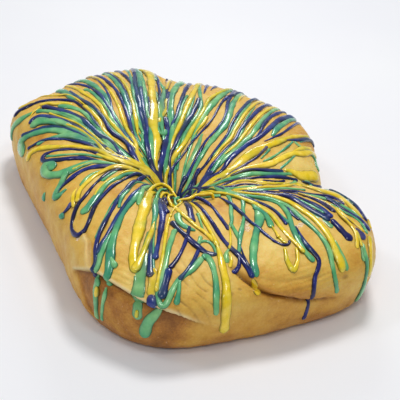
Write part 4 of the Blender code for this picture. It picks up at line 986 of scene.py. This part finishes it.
def lay_out():
    """Every strand as evenly spaced places on the dough, with width, tangent and normal."""
    dense, owner = [], []
    for index, (kind, points) in enumerate(STRANDS):
        v = np.array(points, float)
        v = np.stack([np.radians(v[:, 0]), v[:, 1] / 1000, v[:, 2]], 1)
        # full width on the open dough, traced width in the pit and in the valley
        open_ = smooth((v[:, 1] - 0.16) / 0.14) * smooth(
            (np.abs((v[:, 0] - 5.93 + np.pi) % (2 * np.pi) - np.pi) - 0.30) / 0.25)
        few = {"Y": 1.12, "G": 1.16, "P": 1.06}[kind.upper()]
        v[:, 2] *= few + (FAT[kind.upper()] - few) * open_
        p = body(v[:, 0], v[:, 1])
        chord = np.linalg.norm(np.diff(p, axis=0), axis=1)
        knots = np.concatenate([[0], np.cumsum(np.maximum(chord, 0.5) ** 0.8)])
        u = np.linspace(0, knots[-1], max(8, int(chord.sum() / 0.6)))
        dense.append(hermite(v, knots, u))
        owner.append(np.full(len(u), index))
    sizes = [len(d) for d in dense]
    every = np.concatenate(dense)
    pos = cake(every[:, 0], every[:, 1], STEP)
    parts, start = [], 0
    for index, size in enumerate(sizes):
        kind = STRANDS[index][0]
        v, p = every[start:start + size], pos[start:start + size]
        start += size
        p = gauss(p, 2.2)
        s = np.concatenate([[0], np.cumsum(np.linalg.norm(np.diff(p, axis=0), axis=1))])
        total = s[-1]
        w0, w1 = v[0, 2], v[-1, 2]
        e0 = min(w0 / 2, total * 0.45) * (1 - np.cos(np.radians([0, 20, 38, 56, 74])))
        e1 = min(w1 / 2, total * 0.45) * (1 - np.cos(np.radians([0, 20, 38, 56, 74])))
        lo, hi = e0[-1] + 0.6, total - e1[-1] - 0.6
        inner = np.linspace(lo, hi, max(2, int((hi - lo) / 1.35) + 1)) if hi > lo else []
        at = np.concatenate([e0, inner, total - e1[::-1]])
        at = np.unique(np.clip(at, 0, total))
        take = lambda c: np.interp(at, s, c)
        th, tt, w = take(v[:, 0]), take(v[:, 1]), take(v[:, 2])
        q = np.stack([take(p[:, j]) for j in range(3)], 1)
        parts.append(dict(kind=kind.upper(), film=kind.islower(), th=th, t=tt, w=w, p=q,
                          s=at, total=total, index=index))
    th = np.concatenate([c["th"] for c in parts])
    t = np.concatenate([c["t"] for c in parts])
    # normals of the real, pressed surface, over a span of about two millimetres
    r = np.maximum(np.hypot(*(body(th, t)[:, :2] - (PIT_X, PIT_Y)).T), 4.0)
    da, dt = 1.5 / r, 0.006
    pa = cake(th + da, t, STEP) - cake(th - da, t, STEP)
    pt = cake(th, np.minimum(t + dt, .97), STEP) - cake(th, np.maximum(t - dt, 0.001), STEP)
    n = np.cross(pt, pa)
    n /= np.maximum(np.linalg.norm(n, axis=1), 1e-9)[:, None]
    start = 0
    for c in parts:
        k = len(c["th"])
        m = gauss(n[start:start + k], 1.6)
        c["n"] = m / np.maximum(np.linalg.norm(m, axis=1), 1e-9)[:, None]
        g = np.gradient(c["p"], c["s"], axis=0)
        c["d"] = g / np.maximum(np.linalg.norm(g, axis=1), 1e-9)[:, None]
        side = np.cross(c["n"], c["d"])
        c["side"] = side / np.maximum(np.linalg.norm(side, axis=1), 1e-9)[:, None]
        start += k
    return parts


def pile_up(parts):
    """How high each strand starts: it rides over the strands poured before it."""
    gone_p, gone_w, gone_top, gone_base = (np.zeros((0, 3)), np.zeros(0), np.zeros(0), np.zeros(0))
    for c in parts:
        rng = np.random.RandomState(c["index"] + 5)
        s, w = c["s"], c["w"]
        swell = (1 + 0.09 * np.sin(s * 2 * np.pi / (26 + 16 * rng.rand()) + 6 * rng.rand())
                 + 0.03 * np.sin(s * 2 * np.pi / (9 + 5 * rng.rand()) + 6 * rng.rand()))
        w = w * swell
        # a drop gathers at the outer end
        w = w * (1 + 0.16 * np.exp(-((s / np.maximum(w, 1) - 0.6) / 0.6) ** 2))
        half = np.maximum(w / 2, 0.4)
        e = np.minimum(s, c["total"] - s)
        f = np.clip(e / np.minimum(half, c["total"] * 0.45), 0, 1)
        tip = np.sqrt(np.clip(1 - (1 - f) ** 2, 0.0012, 1))
        h = np.maximum(1.95 * (1 - np.exp(-0.34 * w)), 0.7) * (0.34 if c["film"] else 1.0)
        h = h * (1 + 0.06 * np.sin(s * 2 * np.pi / (24 + 12 * rng.rand()) + 6 * rng.rand()))
        base = np.zeros(len(s))
        if len(gone_p):
            lo, hi = c["p"].min(0) - 8, c["p"].max(0) + 8
            near = ((gone_p > lo) & (gone_p < hi)).all(1)
            gp, gw, gt, gb = gone_p[near], gone_w[near], gone_top[near], gone_base[near]
            for i in range(len(s)):
                if not len(gp):
                    break
                v = gp - c["p"][i]
                d = np.sqrt(np.einsum("ij,ij->i", v, v))
                x = np.maximum(d - 0.20 * w[i], 0) / np.maximum(gw / 2, 0.4)
                hit = x < 1
                if hit.any():
                    base[i] = (0.92 * gt[hit] * np.sqrt(1 - x[hit] ** 2)).max()
        cap = 1.6 + 2.2 * smooth((0.24 - c["t"]) / 0.14)
        base = cap * (1 - np.exp(-base / cap))
        base = gauss(base, 2.2)
        top = base + h * np.sqrt(tip)
        # nothing rises above the highest crest by more than two millimetres
        z = c["p"][:, 2] + top * np.maximum(c["n"][:, 2], 0)
        over = np.clip(z - 86.9, 0, None)
        top = np.maximum(top - over, 0.5)
        base = np.minimum(base, top - 0.4)
        c["w"], c["tip"], c["base"], c["top"] = w, tip, base, top
        gone_p = np.concatenate([gone_p, c["p"]])
        gone_w = np.concatenate([gone_w, w * tip])
        gone_top = np.concatenate([gone_top, top])
        gone_base = np.concatenate([gone_base, base])


def hang(parts):
    """The strands that span the mouth of the pit, held up by those round them."""
    for number, (kind, points) in enumerate(LOOPS):
        v = np.array(points, float)
        chord = np.linalg.norm(np.diff(v[:, :3], axis=0), axis=1)
        knots = np.concatenate([[0], np.cumsum(chord ** 0.8)])
        v = hermite(v, knots, np.linspace(0, knots[-1], int(chord.sum() / 0.9)))
        p = v[:, :3]
        s = np.concatenate([[0], np.cumsum(np.linalg.norm(np.diff(p, axis=0), axis=1))])
        w, total = v[:, 3], s[-1]
        d = np.gradient(p, s, axis=0)
        d /= np.maximum(np.linalg.norm(d, axis=1), 1e-9)[:, None]
        n = np.array([0.0, -0.45, 0.9]) - d * (d @ np.array([0.0, -0.45, 0.9]))[:, None]
        n /= np.maximum(np.linalg.norm(n, axis=1), 1e-9)[:, None]
        f = np.clip(np.minimum(s, total - s) / np.maximum(w / 2, 0.4), 0, 1)
        tip = np.sqrt(np.clip(1 - (1 - f) ** 2, 0.0012, 1))
        parts.append(dict(kind=kind, film=False, p=p, s=s, total=total, w=w, tip=tip, d=d, n=n,
                          side=np.cross(n, d), t=np.full(len(p), 0.2), index=900 + number,
                          base=np.zeros(len(p)), top=0.62 * w * tip))


def blends(parts):
    """Colour of each strand's two edges, where it runs into a strand of another colour."""
    from mathutils import kdtree
    trees = {}
    for kind in "YGP":
        own = [c for c in parts if c["kind"] == kind]
        p = np.concatenate([c["p"] for c in own])
        w = np.concatenate([c["w"] * c["tip"] for c in own])
        tree = kdtree.KDTree(len(p))
        for i, co in enumerate(p):
            tree.insert(co, i)
        tree.balance()
        trees[kind] = (tree, w)
    for c in parts:
        c["mix"] = {}
        for kind in "YGP":
            if kind == c["kind"]:
                continue
            tree, w = trees[kind]
            sides = []
            for sign in (-1, 1):
                q = c["p"] + c["side"] * (sign * 0.42 * c["w"] * c["tip"])[:, None]
                m = np.zeros(len(q))
                for i, co in enumerate(q):
                    _, j, d = tree.find(co)
                    m[i] = 1 - (d - w[j] / 2 + 0.5) / 1.7
                sides.append(gauss(smooth(m), 3.0))
            c["mix"][kind] = sides


def build_icing(parts, kind, name):
    verts, faces, colours, thin = [], [], [], []
    base = 0
    up = RING_UP
    m = len(up) + 2
    across = np.sin(up)
    rise = np.cos(up) ** 0.85
    for c in parts:
        if c["kind"] != kind:
            continue
        k = len(c["s"])
        half = (c["w"] / 2 * c["tip"])[:, None]
        low = c["base"][:, None]
        high = (c["top"] - c["base"])[:, None]
        rng = np.random.RandomState(c["index"] + 77)
        lean = 0.12 * np.sin(c["s"] * 2 * np.pi / (23 + 14 * rng.rand()) + 6 * rng.rand())[:, None]
        shape = rise[None, :] * (1 + lean * across[None, :])
        height = low + high * shape
        offs = half * across[None, :]
        offs = np.concatenate([offs, half * 1.02, -half * 1.02], 1)
        height = np.concatenate([height, np.full((k, 1), FLOOR_OF_BEAD), np.full((k, 1), FLOOR_OF_BEAD)], 1)
        # each ring is set out across the strand, standing on the dough's normal at its middle line
        ring = (c["p"][:, None, :] + c["side"][:, None, :] * offs[..., None]
                + c["n"][:, None, :] * height[..., None])
        verts.append(ring.reshape(-1, 3))
        i = np.arange(k - 1)[:, None] * m + base
        j = np.arange(m)[None, :]
        jn = (j + 1) % m
        quads = np.stack([i + j, i + jn, i + m + jn, i + m + j], -1).reshape(-1, 4)
        faces += quads.tolist()
        faces.append([base + x for x in range(m)][::-1])
        faces.append([base + (k - 1) * m + x for x in range(m)])
        base += k * m
        # colour
        u = np.concatenate([across, [1, -1]])
        # the ink is not stirred evenly: it shifts slowly along a strand and between strands
        tone = (0.5 * rng.randn() + 0.8 * np.sin(c["s"] * 2 * np.pi / (34 + 30 * rng.rand())
                                                + 6.28 * rng.rand())
                + 0.4 * np.sin(c["s"] * 2 * np.pi / (11 + 6 * rng.rand()) + 6.28 * rng.rand()))
        tone = np.clip(tone / 1.6, -1, 1)[:, None, None]
        low_, high_ = SHADES[kind]
        col = np.tile(INK[kind], (k, m, 1))
        col = col + np.maximum(tone, 0) * (high_ - col) + np.maximum(-tone, 0) * (low_ - col)
        for other, (left, right) in c["mix"].items():
            pair = [x for x in MIXED if kind in x and other in x][0]
            mixed = MIXED[pair] * 0.72 + INK[other] * 0.28
            power, most = (2.8, 0.7) if kind == "Y" else (2.4, 0.6)
            amount = (left[:, None] * ((1 - u) / 2)[None, :] ** power
                      + right[:, None] * ((1 + u) / 2)[None, :] ** power) * most
            amount = np.clip(amount, 0, most)[..., None]
            amount = amount * (0.35 + 0.65 * smooth((c["t"] - 0.16) / 0.16))[:, None, None]
            col = col * (1 - amount) + mixed * amount
        see = {"Y": 0.25, "G": 0.10, "P": 0.10}[kind] if c["film"] else 0.0
        col = col * (1 - see) + CRUST * see
        # painted shade: each strand darkens towards its sides and underside, for the shadowed outlines
        # between strands
        col = col * (1 - 0.8 * np.abs(u) ** 5)[None, :, None]
        colours.append(col.reshape(-1, 3))
    v = np.concatenate(verts)
    obj = make_mesh(name, v, faces)
    att = obj.data.color_attributes.new("ink", "FLOAT_COLOR", "POINT")
    rgba = np.concatenate([np.concatenate(colours), np.ones((len(v), 1))], 1)
    att.data.foreach_set("color", rgba.astype(np.float32).ravel())
    return obj


# ---------------------------------------------------------------- materials
class Net:
    """A material's node tree, with short calls to add and link nodes."""

    def __init__(self, name):
        self.mat = bpy.data.materials.new(name)
        self.mat.use_nodes = True
        self.tree = self.mat.node_tree
        self.shader = self.tree.nodes["Principled BSDF"]
        coord = self.tree.nodes.new("ShaderNodeTexCoord")
        self.place = coord.outputs["Object"]

    def add(self, kind, **values):
        node = self.tree.nodes.new(kind)
        for key, value in values.items():
            setattr(node, key, value)
        return node

    def link(self, a, b):
        self.tree.links.new(a, b)

    def noise(self, scale, detail=3.0, rough=0.5, stretch=None):
        node = self.add("ShaderNodeTexNoise")
        node.inputs["Scale"].default_value = scale
        node.inputs["Detail"].default_value = detail
        node.inputs["Roughness"].default_value = rough
        place = self.place
        if stretch:
            m = self.add("ShaderNodeMapping")
            m.inputs["Scale"].default_value = stretch
            self.link(place, m.inputs["Vector"])
            place = m.outputs["Vector"]
        self.link(place, node.inputs["Vector"])
        return node.outputs["Fac"]

    def math(self, op, a, b=None, c=None, clamp=False):
        node = self.add("ShaderNodeMath", operation=op, use_clamp=clamp)
        for i, x in enumerate((a, b, c)):
            if x is None:
                continue
            if isinstance(x, (int, float)):
                node.inputs[i].default_value = x
            else:
                self.link(x, node.inputs[i])
        return node.outputs[0]

    def span(self, x, lo, hi, a, b):
        node = self.add("ShaderNodeMapRange", clamp=True)
        self.link(x, node.inputs[0])
        for i, v in enumerate((lo, hi, a, b)):
            node.inputs[1 + i].default_value = v
        return node.outputs[0]

    def attribute(self, name, out="Fac"):
        node = self.add("ShaderNodeAttribute", attribute_name=name)
        return node.outputs[out]

    def ramp(self, x, stops):
        node = self.add("ShaderNodeValToRGB")
        e = node.color_ramp.elements
        while len(e) < len(stops):
            e.new(0.5)
        for item, (at, colour) in zip(e, stops):
            item.position = at
            item.color = (*colour, 1)
        self.link(x, node.inputs[0])
        return node.outputs[0]

    def mix(self, amount, a, b, blend="MIX"):
        node = self.add("ShaderNodeMix", data_type="RGBA", blend_type=blend)
        for x, socket in ((amount, node.inputs[0]), (a, node.inputs[6]), (b, node.inputs[7])):
            if isinstance(x, (int, float)):
                socket.default_value = x
            elif isinstance(x, (tuple, list, np.ndarray)):
                socket.default_value = (*[float(v) for v in x], 1)
            else:
                self.link(x, socket)
        return node.outputs[2]

    def bump(self, height, strength, distance, after=None):
        node = self.add("ShaderNodeBump")
        node.inputs["Strength"].default_value = strength
        node.inputs["Distance"].default_value = distance
        self.link(height, node.inputs["Height"])
        if after is not None:
            self.link(after, node.inputs["Normal"])
        return node.outputs["Normal"]


def dough_material():
    m = Net("baked_dough")
    s = m.shader.inputs
    big = m.noise(26, 3, 0.55)
    mid = m.noise(95, 4, 0.6)
    tiny = m.noise(520, 3, 0.6)
    bake = m.attribute("bake")
    x = m.math("ADD", bake, m.span(big, 0.3, 0.7, -0.06, 0.06))
    x = m.math("ADD", x, m.span(mid, 0.3, 0.7, -0.07, 0.07))
    x = m.math("ADD", x, m.span(tiny, 0.3, 0.7, -0.06, 0.06), clamp=True)
    colour = m.ramp(x, [(0.0, srgb(244, 218, 136)), (0.22, srgb(238, 205, 108)),
                        (0.42, srgb(231, 186, 82)), (0.62, srgb(216, 160, 60)),
                        (0.82, srgb(184, 120, 38)), (1.0, srgb(140, 86, 26))])
    # pale torn edge; painted shade in the pit, slits, folds, creases, seam and wrinkles; crumb
    colour = m.mix(m.attribute("pale"), colour, srgb(248, 226, 170))
    colour = m.mix(m.math("MULTIPLY", m.attribute("painted_shade"), 0.85), colour, srgb(112, 62, 26))
    speck = m.noise(900, 2, 0.7)
    crumb = m.ramp(speck, [(0.36, srgb(206, 150, 96)), (0.60, srgb(252, 234, 198))])
    flake = m.math("ADD", m.attribute("crumb"), m.span(m.noise(300, 4, 0.7), 0.32, 0.68, -0.55, 0.55))
    colour = m.mix(m.span(flake, 0.50, 0.60, 0, 1), colour, crumb)
    # a few darker specks in the crust
    speck = m.noise(330, 2, 0.5)
    speck = m.span(speck, 0.70, 0.80, 0, 0.35)
    colour = m.mix(speck, colour, srgb(176, 112, 44))
    m.link(colour, s["Base Color"])
    rough = m.math("ADD", m.span(mid, 0.3, 0.7, 0.40, 0.54),
                   m.math("MULTIPLY", m.attribute("crumb"), 0.3))
    m.link(rough, s["Roughness"])
    s["Specular IOR Level"].default_value = 0.42
    s["Subsurface Weight"].default_value = 0.18
    s["Subsurface Radius"].default_value = (1.0, 0.45, 0.2)
    s["Subsurface Scale"].default_value = 0.006
    pores = m.noise(700, 4, 0.65)
    skin = m.noise(240, 4, 0.6, (1.0, 1.0, 1.6))
    n = m.bump(pores, 0.40, 0.0005)
    n = m.bump(skin, 0.45, 0.0012, n)
    m.link(n, s["Normal"])
    m.mat.diffuse_color = (*[float(v) for v in srgb(232, 188, 98)], 1)
    return m.mat


def icing_material(name, view_colour, shine, coat):
    m = Net(name)
    s = m.shader.inputs
    ink = m.attribute("ink", "Color")
    cloud = m.noise(150, 3, 0.55)
    grain = m.noise(620, 3, 0.6)
    value = m.math("MULTIPLY", m.span(cloud, 0.3, 0.7, 0.90, 1.12), m.span(grain, 0.3, 0.7, 0.97, 1.03))
    hsv = m.add("ShaderNodeHueSaturation")
    m.link(ink, hsv.inputs["Color"])
    m.link(value, hsv.inputs["Value"])
    m.link(m.span(cloud, 0.3, 0.7, 1.05, 0.95), hsv.inputs["Saturation"])
    m.link(hsv.outputs["Color"], s["Base Color"])
    m.link(m.span(m.noise(210, 3, 0.6), 0.3, 0.7, 0.14, 0.26), s["Roughness"])
    s["Specular IOR Level"].default_value = shine
    s["Subsurface Weight"].default_value = 0.12
    s["Subsurface Radius"].default_value = (1.0, 0.9, 0.6)
    s["Subsurface Scale"].default_value = 0.0012
    s["Coat Weight"].default_value = coat
    s["Coat Roughness"].default_value = 0.07
    skin = m.noise(420, 2, 0.5)
    m.link(m.bump(skin, 0.05, 0.0006), s["Normal"])
    m.mat.diffuse_color = (*view_colour, 1)
    return m.mat


def floor_material():
    m = Net("studio_floor")
    s = m.shader.inputs
    colour = m.ramp(m.noise(3, 2, 0.5), [(0.3, srgb(243, 243, 247)), (0.7, srgb(247, 247, 249))])
    m.link(colour, s["Base Color"])
    m.link(m.span(m.noise(30, 2, 0.5), 0.3, 0.7, 0.55, 0.65), s["Roughness"])
    s["Specular IOR Level"].default_value = 0.2
    return m.mat


# ---------------------------------------------------------------- put together
dough = build_dough()
dough.data.materials.append(dough_material())
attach(dough, "root")
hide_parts("cake")

parts = lay_out()
pile_up(parts)
hang(parts)
blends(parts)
for kind, name in (("Y", "icing_yellow"), ("G", "icing_green"), ("P", "icing_purple")):
    piece = build_icing(parts, kind, name)
    piece.data.materials.append(
        icing_material(name, [float(v) for v in INK[kind]], *((0.35, 0.28) if kind == "P" else (0.46, 0.34))))
    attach(piece, "root")

# ---------------------------------------------------------------- floor, light, camera
reach = 6.0
floor_mesh = bpy.data.meshes.new("floor")
floor_mesh.from_pydata([(-reach, -reach, -0.0004), (reach, -reach, -0.0004),
                        (reach, reach, -0.0004), (-reach, reach, -0.0004)], [], [(0, 1, 2, 3)])
floor = bpy.data.objects.new("floor", floor_mesh)
bpy.context.scene.collection.objects.link(floor)
floor.data.materials.append(floor_material())

scene = bpy.context.scene
scene.view_settings.view_transform = "Standard"
world = bpy.data.worlds.new("studio")
world.use_nodes = True
world.node_tree.nodes["Background"].inputs["Color"].default_value = (0.93, 0.96, 1.0, 1)
world.node_tree.nodes["Background"].inputs["Strength"].default_value = WORLD
scene.world = world


def area(name, at, to, size, power, colour=(1, 1, 1)):
    data = bpy.data.lights.new(name, "AREA")
    data.shape = "DISK"
    data.size = size
    data.energy = power
    data.color = colour
    obj = bpy.data.objects.new(name, data)
    obj.location = at
    obj.rotation_euler = (Vector(to) - Vector(at)).to_track_quat("-Z", "Y").to_euler()
    scene.collection.objects.link(obj)
    return obj


for name, at, size, power, colour in LIGHTS:
    area(name, at, (0, 0, 0.05), size, power, colour)

# camera at the photograph's angle: yaw, pitch and roll in radians
YAW, PITCH, ROLL = -0.408330, 0.554056, 0.0821199
FOCAL_PX = 1074.47
EYE = (-0.336991, -0.8122415, 0.560566)


def camera_axes():
    cy, sy, cp, sp = math.cos(YAW), math.sin(YAW), math.cos(PITCH), math.sin(PITCH)
    turn = np.array([[cy, -sy, 0], [sy, cy, 0], [0, 0, 1]])
    tilt = np.array([[1, 0, 0], [0, cp, sp], [0, -sp, cp]])
    m = turn @ tilt
    right, ahead, up = m @ (1, 0, 0), m @ (0, 1, 0), m @ (0, 0, 1)
    c, s = math.cos(ROLL), math.sin(ROLL)
    return c * right + s * up, -s * right + c * up, ahead


right, up, ahead = camera_axes()
data = bpy.data.cameras.new("camera")
data.sensor_width = 36.0
data.lens = FOCAL_PX * 36.0 / 400
data.clip_start, data.clip_end = 0.05, 50
camera = bpy.data.objects.new("camera", data)
m = Matrix.Identity(4)
for col, axis in enumerate((right, up, -ahead)):
    for row in range(3):
        m[row][col] = float(axis[row])
for row in range(3):
    m[row][3] = EYE[row]
camera.matrix_world = m
scene.collection.objects.link(camera)
scene.camera = camera
